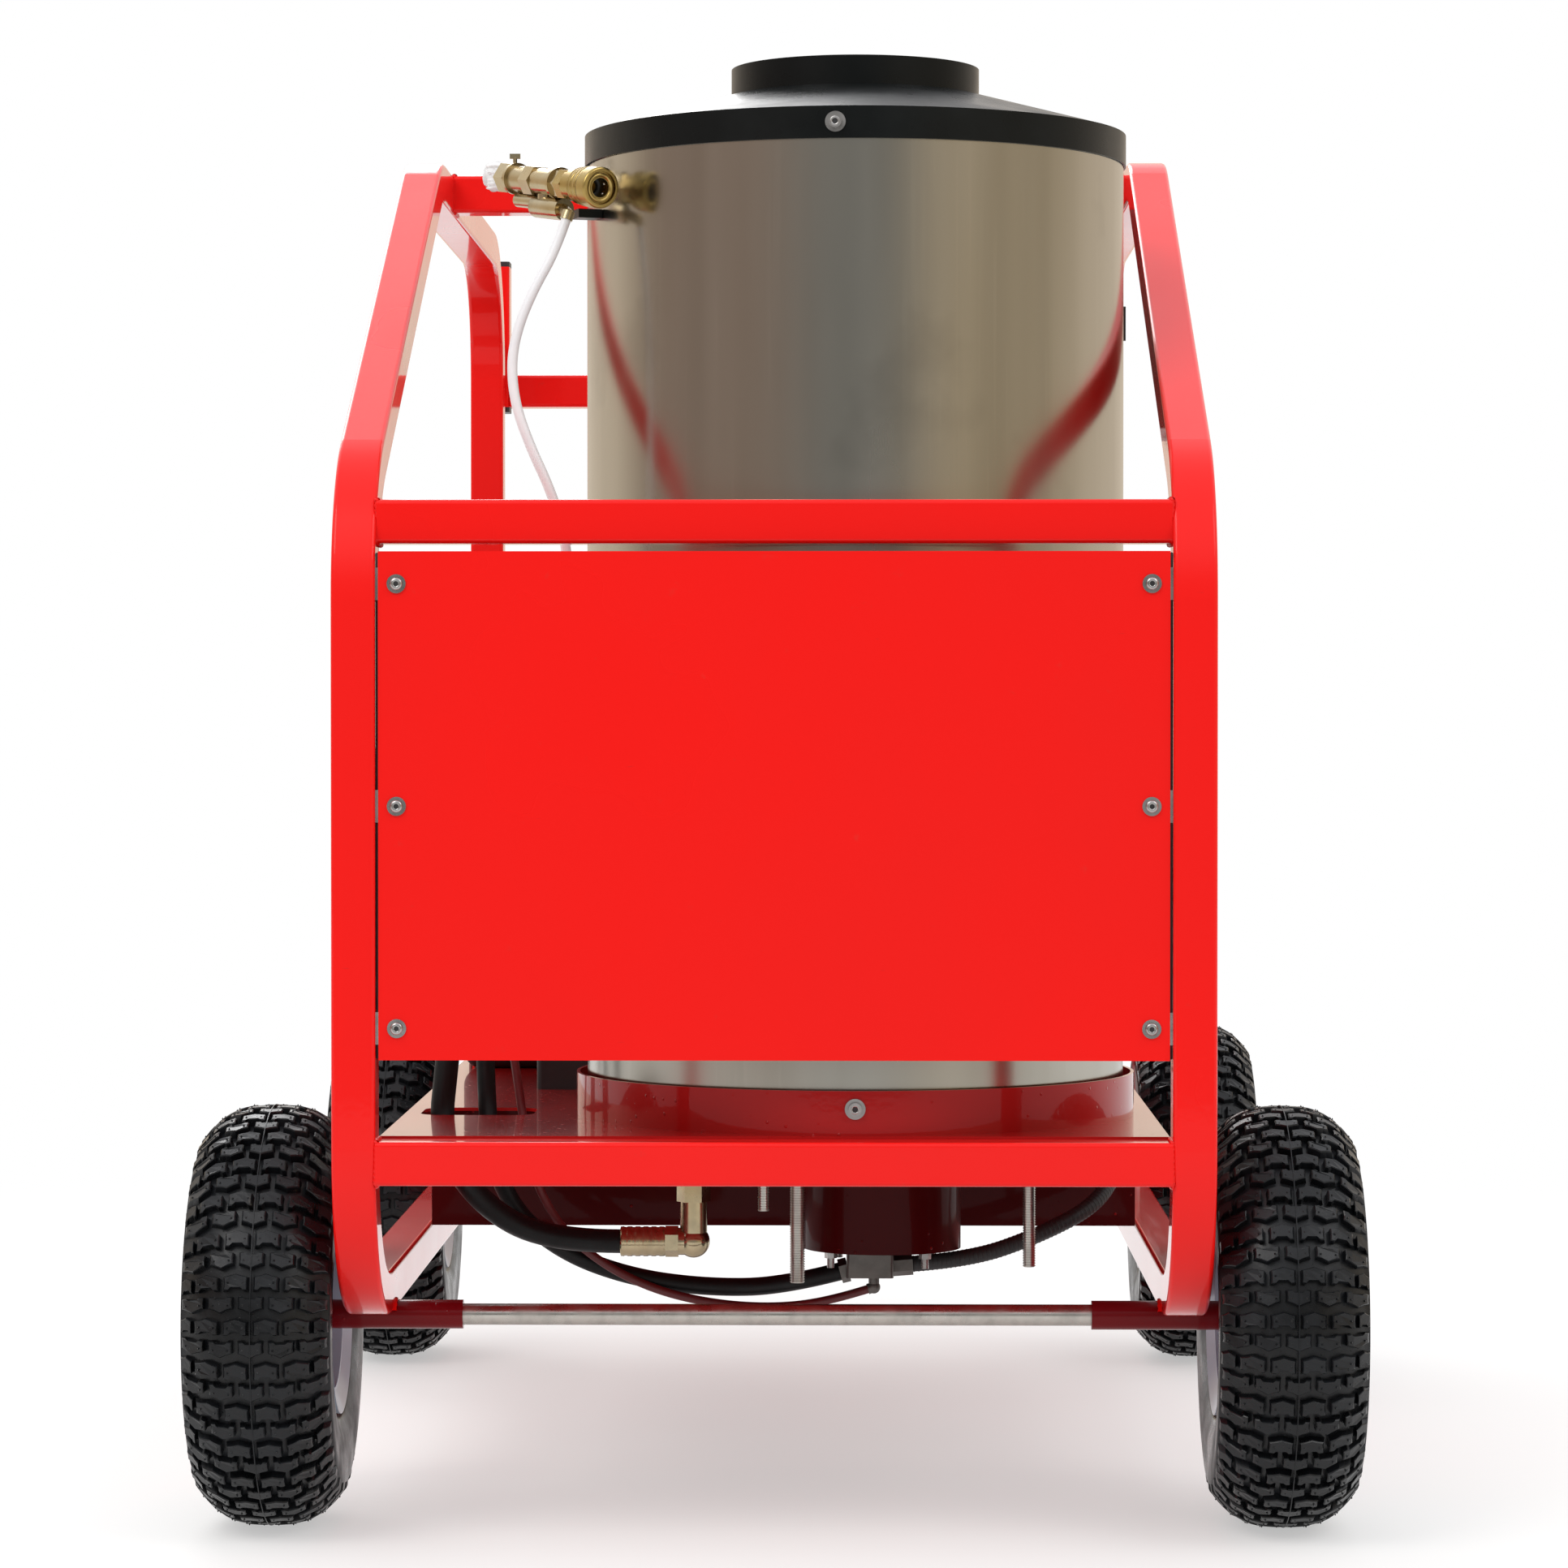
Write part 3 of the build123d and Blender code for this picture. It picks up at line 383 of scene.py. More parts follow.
LOOKS = {
    "frame_paint": red_paint("frame_paint", False),
    "deck_paint": red_paint("deck_paint", True, (0.42, 0.006, 0.006)),
    # Red darkened far below the frame's paint, for the deck bearers and burner drum: painted shade under the
    # deck.
    "painted_shade_red": red_paint("painted_shade_red", True, (0.055, 0.0012, 0.0018), 0.35, 0.06),
    "sleeve_paint": red_paint("sleeve_paint", True, (0.17, 0.002, 0.005), 0.6, 0.1),
    "panel_paint": red_paint("panel_paint", False),
    "stainless": stainless(),
    "stainless_fasteners": bare_metal("stainless_fasteners", (0.42, 0.41, 0.40), 0.25),
    "black_enamel": enamel("black_enamel", (0.005, 0.006, 0.006), 0.28, coat=0.0, specular=0.14, lift=0.004),
    "steel": bare_metal("steel", (0.50, 0.48, 0.44), 0.28),
    "dark_steel": bare_metal("dark_steel", (0.16, 0.15, 0.14), 0.42),
    "brass": bare_metal("brass", (0.46, 0.33, 0.11), 0.27, tint=(0.38, 0.25, 0.07)),
    "yellow_zinc": bare_metal("yellow_zinc", (0.50, 0.42, 0.27), 0.22, tint=(0.46, 0.34, 0.16), scale=45),
    "tread_rubber": wet_rubber(),
    "rim_paint": enamel("rim_paint", (0.42, 0.48, 0.58), 0.35),
    "engine_metal": enamel("engine_metal", (0.035, 0.036, 0.040), 0.42, coat=0.1, scale=160),
    "shroud_paint": enamel("shroud_paint", (0.020, 0.020, 0.022), 0.35),
    "muffler_metal": enamel("muffler_metal", (0.025, 0.022, 0.020), 0.6, coat=0.0, scale=200),
    "filter_plastic": plastic("filter_plastic", (0.018, 0.018, 0.018), 0.55),
    "cast_aluminium": bare_metal("cast_aluminium", (0.55, 0.55, 0.54), 0.48, bump=0.4, scale=180),
    "pump_brass": bare_metal("pump_brass", (0.58, 0.40, 0.16), 0.34, bump=0.3, scale=120),
    "belt_rubber": plastic("belt_rubber", (0.014, 0.014, 0.014), 0.7),
    "tank_plastic": plastic("tank_plastic", (0.014, 0.014, 0.015), 0.5, bump=0.45),
    "black_plastic": plastic("black_plastic", (0.012, 0.012, 0.013), 0.45),
    "knob_plastic": plastic("knob_plastic", (0.012, 0.012, 0.012), 0.25, bump=0.1),
    "red_plastic": plastic("red_plastic", (0.55, 0.01, 0.01), 0.3, bump=0.1),
    "hose_rubber": hose_look("hose_rubber", (0.004, 0.004, 0.0045), specular=0.25),
    "red_tube": hose_look("red_tube", (0.10, 0.006, 0.008)),
    "white_tube": plastic("white_tube", (0.80, 0.81, 0.83), 0.35, scale=60, bump=0.2),
    "grey_conduit": plastic("grey_conduit", (0.016, 0.016, 0.017), 0.5),
    "seal_tape": plastic("seal_tape", (0.86, 0.86, 0.86), 0.55, scale=320, bump=0.9),
}


def dress_cad_nodes():
    """Every CAD node takes the look of its own slot in the record, unless special gives it another look."""
    special = {
        # deck_bearers and burner_drum take a red darkened as painted shade under the deck.
        "deck_pan": "deck_paint", "boiler_base_ring": "deck_paint", "deck_bearers": "painted_shade_red",
        "burner_drum": "painted_shade_red", "axle_sleeves": "sleeve_paint", "heating_coil": "dark_steel",
        "burner_nozzle": "dark_steel", "deck_studs": "dark_steel", "outlet_fittings": "yellow_zinc",
        "outlet_pipe": "black_enamel", "relief_valve": "yellow_zinc", "coil_inlet": "yellow_zinc",
        "axles": "steel",
    }
    for part in frame["record"]["subparts"]:
        node = part["node"]
        slot = special.get(node, part["material_slot"])
        for place in bpy.data.objects[node].material_slots:
            place.material = LOOKS[slot]


dress_cad_nodes()


# ------------------------------------------------------------------ hoses, lines and tubes

def cord(node, slot, points, diameter):
    """One smooth curve along the CAD route, in metres."""
    data = bpy.data.curves.new(node + "_line", "CURVE")
    data.dimensions = "3D"
    data.bevel_depth = diameter / 2
    data.bevel_resolution = 6
    data.resolution_u = 10
    data.use_fill_caps = True
    spline = data.splines.new("NURBS")
    spline.points.add(len(points) - 1)
    for point, place in zip(spline.points, points):
        point.co = (*place, 1)
    spline.order_u = 3
    spline.use_endpoint_u = True
    piece = bpy.data.objects.new(node + "_line", data)
    data.materials.append(LOOKS[slot])
    bpy.context.scene.collection.objects.link(piece)
    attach(piece, "frame")
    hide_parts(node)
    return piece


HOSE = [
    (-0.095, -0.062, 0.612), (-0.108, -0.150, 0.622), (-0.150, -0.240, 0.640), (-0.218, -0.325, 0.646),
    (-0.274, -0.410, 0.628), (-0.296, -0.480, 0.570), (-0.298, -0.528, 0.492), (-0.304, -0.548, 0.412),
    (-0.312, -0.548, 0.338), (-0.276, -0.536, 0.277), (-0.214, -0.520, 0.241), (-0.146, -0.520, 0.241),
]
FUEL_HOSE = [
    (-0.300, -0.025, 0.420), (-0.300, -0.120, 0.426), (-0.292, -0.225, 0.446), (-0.288, -0.330, 0.470),
    (-0.282, -0.420, 0.482), (-0.275, -0.486, 0.452), (-0.271, -0.518, 0.390), (-0.268, -0.510, 0.326),
    (-0.250, -0.488, 0.268), (-0.203, -0.476, 0.226), (-0.138, -0.466, 0.201), (-0.066, -0.458, 0.191),
    (0.002, -0.455, 0.192), (0.056, -0.455, 0.206),
]
FUEL_LINE = [
    (-0.262, -0.025, 0.440), (-0.264, -0.080, 0.444), (-0.270, -0.150, 0.452), (-0.276, -0.230, 0.462),
    (-0.280, -0.320, 0.480), (-0.276, -0.400, 0.492), (-0.264, -0.462, 0.478), (-0.250, -0.496, 0.432),
    (-0.240, -0.502, 0.370), (-0.232, -0.498, 0.306), (-0.206, -0.492, 0.252), (-0.166, -0.484, 0.216),
    (-0.118, -0.476, 0.191), (-0.062, -0.470, 0.177), (-0.004, -0.466, 0.173), (0.046, -0.463, 0.179),
    (0.082, -0.460, 0.190),
]
CONDUIT = [
    (0.124, -0.453, 0.213), (0.178, -0.452, 0.217), (0.240, -0.446, 0.238), (0.292, -0.424, 0.262),
    (0.316, -0.380, 0.286), (0.320, -0.332, 0.316), (0.320, -0.296, 0.353),
]
RELIEF = [
    (-0.186, -0.668, 1.173), (-0.197, -0.672, 1.140), (-0.216, -0.676, 1.106), (-0.230, -0.678, 1.072),
    (-0.236, -0.680, 1.040), (-0.232, -0.682, 1.002), (-0.218, -0.684, 0.964), (-0.202, -0.685, 0.930),
    (-0.188, -0.682, 0.888), (-0.184, -0.672, 0.836), (-0.188, -0.656, 0.780),
]
cord("pressure_hose", "hose_rubber", HOSE, 0.022)
cord("fuel_hose", "hose_rubber", FUEL_HOSE, 0.017)
cord("fuel_line", "red_tube", FUEL_LINE, 0.008)
conduit = cord("burner_conduit", "grey_conduit", CONDUIT, 0.015)
cord("relief_tube", "white_tube", RELIEF, 0.009)


# ------------------------------------------------------------------ helpers for new pieces


def add_mesh(name, shape, slot, body="frame", smooth=True):
    """A new piece from (vertices, faces), which rides a body and has one look."""
    vertices, faces = shape
    mesh = bpy.data.meshes.new(name)
    mesh.from_pydata(vertices, [], faces)
    mesh.materials.append(LOOKS[slot])
    for polygon in mesh.polygons:
        polygon.use_smooth = smooth
    piece = bpy.data.objects.new(name, mesh)
    bpy.context.scene.collection.objects.link(piece)
    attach(piece, body)
    return piece


def join(pieces):
    """Several (vertices, faces) pairs as one."""
    vertices = []
    faces = []
    for some, index_lists in pieces:
        offset = len(vertices)
        vertices += [tuple(v) for v in some]
        faces += [tuple(i + offset for i in f) for f in index_lists]
    return vertices, faces


def across(direction):
    """Two unit vectors square to a direction."""
    direction = Vector(direction).normalized()
    helper = Vector((0, 0, 1)) if abs(direction.z) < 0.9 else Vector((1, 0, 0))
    first = direction.cross(helper).normalized()
    return first, direction.cross(first).normalized()


def bands(rows, sides, start=0):
    """The faces between rings of points, with `sides` points in each ring."""
    faces = []
    for row in range(rows):
        for k in range(sides):
            a = start + row * sides + k
            b = start + row * sides + (k + 1) % sides
            faces.append((a, b, b + sides, a + sides))
    return faces


def tube_along(spots, radius_at, sides):
    """A round tube along the spots; radius_at gives its radius at each index."""
    vertices = []
    for index, spot in enumerate(spots):
        ahead = spots[min(index + 1, len(spots) - 1)] - spots[max(index - 1, 0)]
        first, second = across(ahead)
        radius = radius_at(index)
        for k in range(sides):
            angle = 2 * math.pi * k / sides
            vertices.append(spot + (first * math.cos(angle) + second * math.sin(angle)) * radius)
    return vertices, bands(len(spots) - 1, sides)


def lathe(origin, direction, profile, sides=48, ripple=None):
    """Vertices and faces of a profile of (distance, radius) turned about a line."""
    origin = Vector(origin)
    direction = Vector(direction).normalized()
    first, second = across(direction)
    vertices = []
    for distance, radius in profile:
        for k in range(sides):
            angle = 2 * math.pi * k / sides
            r = radius if ripple is None else radius + ripple(distance, angle)
            outward = first * math.cos(angle) + second * math.sin(angle)
            vertices.append(origin + direction * distance + outward * r)
    return vertices, bands(len(profile) - 1, sides)


# ------------------------------------------------------------------ tyres

CROWN_DROP = 0.030
HALF_TREAD = 0.063
GROOVE = 0.0075
ROWS = 60
BLOCK_PITCH = 0.0262
SHOULDER_X = 0.0585
MAX_BLOCK_X = 0.0646
CARCASS_SIDES = 120
CARCASS_ROWS = 40


def crown(x):
    """The tread's outer radius at a distance from the tyre's middle."""
    return TYRE_R - 0.0006 - CROWN_DROP * min(1.0, abs(x) / HALF_TREAD) ** 3.0


# Outlines of the two tread blocks, in millimetres across and along the tread.
SHIELD = [
    (-10.4, 6.4), (-6.6, 6.8), (-4.6, 5.0), (4.6, 5.0), (6.6, 6.8), (10.4, 6.4), (10.0, 1.0), (10.4, -3.4),
    (5.4, -5.0), (0, -7.6), (-5.4, -5.0), (-10.4, -3.4), (-10.0, 1.0),
]
WINGED = [
    (-10.4, 4.4), (-5.4, 5.6), (0, 7.4), (5.4, 5.6), (10.4, 4.4), (10.0, -1.0), (10.4, -7.2), (7.2, -7.4),
    (4.6, -4.8), (-4.6, -4.8), (-7.2, -7.4), (-10.4, -7.2), (-10.0, -1.0),
]


def tread_block(outline, x_mid, angle, vertices, faces):
    """One raised block: a rounded top, a chamfer and sides down into the groove."""
    count = len(outline)
    start = len(vertices)
    for shrink, lift in ((1.10, -GROOVE - 0.0006), (1.0, -0.0011), (0.90, 0.0)):
        for u, v in outline:
            x = x_mid + u * shrink * 0.001
            x = max(-MAX_BLOCK_X, min(MAX_BLOCK_X, x))
            turn = angle + v * shrink * 0.001 / TYRE_R
            r = crown(x) + lift
            vertices.append((x, r * math.sin(turn), r * math.cos(turn)))
    for ring in range(2):
        for k in range(count):
            a = start + ring * count + k
            b = start + ring * count + (k + 1) % count
            faces.append((a, a + count, b + count, b))
    faces.append(tuple(start + 2 * count + k for k in reversed(range(count))))


def pip(x, angle, vertices, faces):
    """A moulding pip on a block."""
    start = len(vertices)
    r = crown(x) - 0.0001
    width = 0.0009
    for dx, dv in ((-1, -1), (1, -1), (1, 1), (-1, 1)):
        turn = angle + dv * width / TYRE_R
        vertices.append((x + dx * width, r * math.sin(turn), r * math.cos(turn)))
    tall = min(r + 0.0016, TYRE_R)
    vertices.append((x, tall * math.sin(angle), tall * math.cos(angle)))
    for k in range(4):
        faces.append((start + k, start + (k + 1) % 4, start + 4))


def tyre_mesh():
    """A turf tyre about the X axis: carcass, sidewalls, staggered tread blocks and pips."""
    vertices = []
    faces = []
    for row in range(ROWS):
        angle = 2 * math.pi * row / ROWS
        even = row % 2 == 0
        outline = SHIELD if even else WINGED
        places = (-2, -1, 0, 1, 2) if even else (-2.5, -1.5, -0.5, 0.5, 1.5, 2.5)
        for place in places:
            x_mid = place * BLOCK_PITCH
            if abs(place) > 2.2:
                x_mid = math.copysign(SHOULDER_X, place)
                block = [(u * 0.52, v) for u, v in outline]
            else:
                block = outline
            tread_block(block, x_mid, angle, vertices, faces)
            if abs(place) < 2.2:
                for side in (-0.0066, 0.0066):
                    pip(x_mid + side, angle - 0.004, vertices, faces)
    ridge = [(-0.0007, TYRE_R - 0.0016), (-0.0004, TYRE_R - 0.0001),
             (0.0004, TYRE_R - 0.0001), (0.0007, TYRE_R - 0.0016)]
    seam = lathe((0, 0, 0), (1, 0, 0), ridge, sides=CARCASS_SIDES)
    profile = []
    steps = 22
    for k in range(steps + 1):
        x = -0.0640 + 0.1280 * k / steps
        profile.append((x, crown(x) - GROOVE))
    side = [(0.0648, 0.150), (0.0649, 0.138), (0.0640, 0.126), (0.0645, 0.123), (0.0630, 0.110),
            (0.0600, 0.099), (0.0592, 0.0945), (0.0575, 0.0925), (0.0500, 0.0900)]
    whole = [(-x, r) for x, r in reversed(side)] + profile + side
    base = lathe((0, 0, 0), (1, 0, 0), whole, sides=CARCASS_SIDES)
    return join([(vertices, faces), seam, base])


def add_tyres():
    """One turf tyre at each corner, each turned by its own angle, with smooth shading on the carcass only."""
    vertices, faces = tyre_mesh()
    lathed = CARCASS_SIDES * CARCASS_ROWS
    for end, y in AXLES:
        for side_name, side in SIDES:
            name = end + "_" + side_name
            mesh = bpy.data.meshes.new("turf_tyre_" + name)
            mesh.from_pydata(vertices, [], faces)
            mesh.materials.append(LOOKS["tread_rubber"])
            for polygon in mesh.polygons:
                polygon.use_smooth = len(polygon.vertices) == 4 and polygon.index > len(faces) - lathed
            turn = random.uniform(0, 2 * math.pi)
            mesh.transform(Matrix.Translation((side * WHEEL_X, y, TYRE_R)) @ Matrix.Rotation(turn, 4, "X"))
            tyre = bpy.data.objects.new("turf_tyre_" + name, mesh)
            bpy.context.scene.collection.objects.link(tyre)
            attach(tyre, "wheel_" + name)
            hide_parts("tyre_" + name)
            tyre_valve(name, side, y)


def tyre_valve(name, side, y):
    """The valve stem on the outer face of the rim."""
    foot = (side * (WHEEL_X + 0.030), y + 0.045, TYRE_R + 0.045)
    profile = [(0.0, 0.006), (0.006, 0.006), (0.008, 0.0042), (0.020, 0.0038), (0.021, 0.0045),
               (0.029, 0.0045), (0.030, 0.0)]
    shape = lathe(foot, (side, 0.25, 0.25), profile, sides=12)
    add_mesh("valve_" + name, shape, "black_plastic", "wheel_" + name)


add_tyres()


# ------------------------------------------------------------------ welds

def weld_bead(name, points, radius=0.0026):
    """A rippled bead along a joint."""
    spots = []
    for start, end in zip(points, points[1:]):
        start = Vector(start)
        end = Vector(end)
        count = max(2, int((end - start).length / 0.0016))
        spots += [start.lerp(end, k / count) for k in range(count)]
    spots.append(Vector(points[-1]))

    def rippled(index):
        return radius * (0.9 + 0.22 * math.sin(index * 2.1) + random.uniform(-0.05, 0.05))

    shape = tube_along(spots, rippled, 8)
    add_mesh(name, shape, "frame_paint")


def crossbar_welds():
    """Beads round both ends of each crossbar, where it meets the hoops."""
    bars = [("upper", -0.815, 0.875), ("lower", -0.833, 0.3218), ("top", 0.0095, 1.24395),
            ("rear_low", 0.71295, 0.3218), ("rear_mid", 0.71295, 0.860)]
    lip = 0.003
    for bar, y, z in bars:
        for side_name, side in SIDES:
            x = side * (HOOP_IN - 0.0004)
            loop = [(x, y + lip, z + lip), (x, y + lip, z + TUBE - lip), (x, y + lip, z + TUBE),
                    (x, y + TUBE - lip, z + TUBE), (x, y + TUBE, z + TUBE - lip), (x, y + TUBE, z + lip),
                    (x, y + TUBE - lip, z), (x, y + lip, z), (x, y + lip, z + lip)]
            weld_bead("weld_" + bar + "_" + side_name, loop)


def sleeve_welds():
    """Beads where each axle sleeve is let into the bottom rail."""
    radius = 0.0132
    for end, y in AXLES:
        for side_name, side in SIDES:
            for edge_name, x in (("inner", HOOP_IN), ("outer", HOOP_OUT)):
                arc = []
                for k in range(9):
                    angle = math.radians(18 + 18 * k)
                    arc.append((side * x, y + radius * math.cos(angle), TYRE_R + radius * math.sin(angle)))
                weld_bead("weld_sleeve_" + end + "_" + side_name + "_" + edge_name, arc, 0.0022)


crossbar_welds()
sleeve_welds()


# ------------------------------------------------------------------ hot-water outlet

# The outlet's axis starts in the elbow and runs out past the coupler's mouth.
OUT_A = Vector((-0.2548, -0.5469, 1.2196))
OUT_DIR = Vector((0.553, -0.821, -0.143)).normalized()


def tape_wrap():
    """White thread tape wound in untidy layers over the elbow and nipple."""

    def ripple(distance, angle):
        layers = 0.0010 * math.sin(distance * 1900 + angle) + 0.0007 * math.sin(distance * 4100 - 2 * angle)
        return layers + 0.0009 * math.sin(5 * angle + distance * 700)

    profile = [(-0.0135, 0.003), (-0.0125, 0.0080)]
    profile += [(-0.0115 + 0.0012 * k, 0.0122) for k in range(10)]
    profile += [(0.0008 + 0.0011 * k, 0.0108) for k in range(9)]
    elbow = [(-0.0128, 0.002), (-0.0122, 0.0090)]
    elbow += [(-0.0112 + 0.0012 * k, 0.0119) for k in range(19)]
    elbow += [(0.0116, 0.0095), (0.0122, 0.002)]
    layers = [lathe(OUT_A, OUT_DIR, profile, 36, ripple), lathe(OUT_A, (0, 0, 1), elbow, 36, ripple)]
    shape = join(layers)
    add_mesh("seal_tape", shape, "seal_tape")


def knurl_band(name, body, start, end, radius, teeth, slot):
    """A raised knurled band round the outlet's axis."""

    def ripple(distance, angle):
        twist = distance * 700
        return 0.00045 * (math.sin(teeth * angle + twist) * math.sin(teeth * angle - twist))

    rows = max(4, int((end - start) / 0.0007))
    profile = [(start - 0.0006, radius - 0.0008)]
    profile += [(start + (end - start) * k / rows, radius + 0.0002) for k in range(rows + 1)]
    profile += [(end + 0.0006, radius - 0.0008)]
    shape = lathe(OUT_A, OUT_DIR, profile, sides=teeth * 4, ripple=ripple)
    add_mesh(name, shape, slot, body)


def coupler_detail():
    """Turned steps, the locking balls and the seal inside the coupler's mouth."""
    knurl_band("coupler_knurl_rear", "coupler_sleeve", 0.1480, 0.1540, 0.0162, 40, "brass")
    knurl_band("coupler_knurl_front", "coupler_sleeve", 0.1575, 0.1635, 0.0174, 44, "brass")
    lip = [(0.1785, 0.0132), (0.1798, 0.0130), (0.1805, 0.0120), (0.1803, 0.0104), (0.1790, 0.0094),
           (0.1720, 0.0090), (0.1600, 0.0088)]
    shape = lathe(OUT_A, OUT_DIR, lip)
    add_mesh("coupler_mouth", shape, "brass")
    first, second = across(OUT_DIR)
    for k in range(6):
        angle = math.pi * k / 3 + 0.4
        outward = first * math.cos(angle) + second * math.sin(angle)
        centre = OUT_A + OUT_DIR * 0.171 + outward * 0.0092
        mesh = bpy.data.meshes.new("ball")
        sphere = bmesh.new()
        bmesh.ops.create_icosphere(sphere, subdivisions=2, radius=0.0018, matrix=Matrix.Translation(centre))
        sphere.to_mesh(mesh)
        sphere.free()
        mesh.materials.append(LOOKS["steel"])
        for polygon in mesh.polygons:
            polygon.use_smooth = True
        ball = bpy.data.objects.new("coupler_ball_" + str(k), mesh)
        bpy.context.scene.collection.objects.link(ball)
        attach(ball, "frame")
    seal = [(0.1600, 0.0087), (0.1600, 0.0060), (0.1625, 0.0055), (0.1650, 0.0060), (0.1650, 0.0087)]
    shape = lathe(OUT_A, OUT_DIR, seal, sides=36)
    add_mesh("coupler_seal", shape, "black_plastic")


tape_wrap()
coupler_detail()


# ------------------------------------------------------------------ threads, ribs and ferrules

def thread(name, start, direction, length, radius, pitch, slot, depth):
    """A rod with rounded threads."""
    count = int(length / pitch)
    profile = []
    for k in range(count):
        profile.append((k * pitch, radius - depth))
        profile.append((k * pitch + pitch / 2, radius + 0.0001))
    profile.append((length, radius - depth))
    shape = lathe(start, direction, profile, sides=20)
    add_mesh(name, shape, slot)


def deck_threads():
    """Threads on the three studs that hang from the deck."""
    nut_face = 0.349
    studs = ((0.017, -0.538, 0.205, 0.006), (-0.014, -0.548, 0.272, 0.0045), (0.230, -0.538, 0.220, 0.005))
    for index, (x, y, bottom, radius) in enumerate(studs):
        thread("stud_thread_" + str(index), (x, y, bottom), (0, 0, 1), nut_face - bottom,
               radius + 0.0010, 0.0023, "steel", 0.0011)


def cord_line(piece, steps):
    """Points evenly along a cord's own smooth line."""
    data = piece.data.copy()
    data.bevel_depth = 0
    data.resolution_u = 24
    twin = bpy.data.objects.new("twin", data)
    bpy.context.scene.collection.objects.link(twin)
    bpy.context.view_layer.update()
    mesh = bpy.data.meshes.new_from_object(twin.evaluated_get(bpy.context.evaluated_depsgraph_get()))
    points = [v.co.copy() for v in mesh.vertices]
    bpy.data.objects.remove(twin)
    bpy.data.meshes.remove(mesh)
    lengths = [0.0]
    for a, b in zip(points, points[1:]):
        lengths.append(lengths[-1] + (b - a).length)
    result = []
    index = 0
    for k in range(steps + 1):
        target = lengths[-1] * k / steps
        while index < len(points) - 2 and lengths[index + 1] < target:
            index += 1
        part = (target - lengths[index]) / max(1e-9, lengths[index + 1] - lengths[index])
        result.append(points[index].lerp(points[index + 1], part))
    return result


def conduit_ribs():
    """Corrugations along the conduit."""
    spots = cord_line(conduit, 560)
    shape = tube_along(spots, lambda index: 0.0073 + 0.0006 * math.sin(2 * math.pi * index / 7), 20)
    add_mesh("conduit_ribs", shape, "grey_conduit")


def ferrule_rings():
    """The pressed rings of the hose ferrule."""
    profile = [(0.0, 0.0120), (0.001, 0.0136)]
    for k in range(5):
        start = 0.003 + k * 0.0074
        profile += [(start, 0.0138), (start + 0.0022, 0.0138), (start + 0.0032, 0.0130),
                    (start + 0.0048, 0.0130), (start + 0.0058, 0.0138)]
    profile += [(0.0412, 0.0136), (0.0418, 0.0112)]
    shape = lathe((-0.105, -0.520, 0.241), (-1, 0, 0), profile, sides=36)
    add_mesh("ferrule_rings", shape, "yellow_zinc")


deck_threads()
conduit_ribs()
ferrule_rings()


# ------------------------------------------------------------------ bolts, screws and fittings

# The front panel, its screws, and the bolt circles of the boiler.
PANEL_Y = -0.828
PANEL_BACK = PANEL_Y + 0.002
PANEL_HALF = 0.3404
SCREW_X = 0.3246
SCREW_Z = (0.4574, 0.6487, 0.8400)
RING_R = 0.256
RING_SCREW_Z = 0.385
LID_R = 0.248
LID_SCREW_Z = 1.242


def hex_bolts(name, spots, direction, size, slot):
    """Washer and hexagon head at each spot; size is the head's radius."""
    washer = [(0.0, size * 1.45), (size * 0.16, size * 1.45), (size * 0.22, size * 1.38),
              (size * 0.22, size * 0.5)]
    head = [(size * 0.2, size), (size * 0.75, size), (size * 0.9, size * 0.82), (size * 0.9, 0.0)]
    pieces = []
    for spot in spots:
        pieces.append(lathe(spot, direction, washer, sides=20))
        pieces.append(lathe(spot, direction, head, sides=6))
    shape = join(pieces)
    add_mesh(name, shape, slot, smooth=False)


def socket_head(name, foot, out, size, proud):
    """The domed rim of a button-head screw, and a dark hexagon laid in its socket as painted shade."""
    rim = [(proud - size * 0.50, size * 1.01), (proud - size * 0.16, size * 0.93),
           (proud + 0.0001, size * 0.70), (proud + 0.0001, size * 0.46), (proud - size * 0.05, size * 0.42)]
    shape = lathe(foot, out, rim, sides=28)
    add_mesh(name, shape, "stainless_fasteners")
    # A flat dark hexagon in the socket: painted shade in the recess.
    socket_shade = [(proud - size * 0.02, size * 0.43), (proud - size * 0.03, 0.0)]
    shape = lathe(foot, out, socket_shade, sides=6)
    add_mesh(name + "_socket", shape, "black_plastic", smooth=False)


def screw_details():
    """The heads on the boiler's ring and lid, and those on the front panel."""
    boiler_screws = ((-90, RING_R, RING_SCREW_Z), (30, RING_R, RING_SCREW_Z), (150, RING_R, RING_SCREW_Z),
                     (-94, LID_R, LID_SCREW_Z), (86, LID_R, LID_SCREW_Z))
    for index, (angle, radius, z) in enumerate(boiler_screws):
        turn = math.radians(angle)
        out = Vector((math.cos(turn), math.sin(turn), 0))
        foot = BOILER_AXIS + out * (radius + 0.0002) + Vector((0, 0, z))
        socket_head("boiler_screw_" + str(index), foot, out, 0.0058, 0.0060)
    for side_name, side in SIDES:
        for index, z in enumerate(SCREW_Z):
            foot = (side * SCREW_X, PANEL_Y - 0.0013, z)
            socket_head("panel_screw_" + side_name + "_" + str(index), foot, (0, -1, 0), 0.0054, 0.0030)


def panel_gap_shade_strips():
    """Round dark cord in the gaps between the panel's sides and the posts, put there as painted shade so that
    the gaps read dark.
    """
    radius = 0.0016
    bottom = 0.431
    height = 0.436
    profile = [(0.0, 0.0), (0.0003, 0.0012), (0.0010, radius),
               (height - 0.0010, radius), (height - 0.0003, 0.0012), (height, 0.0)]
    for side_name, side in SIDES:
        foot = (side * (PANEL_HALF + radius / 2), PANEL_BACK + radius, bottom)
        shape = lathe(foot, (0, 0, 1), profile, sides=16)
        # A dark cord in each gap, as painted shade.
        add_mesh("panel_gap_shade_" + side_name, shape, "belt_rubber")


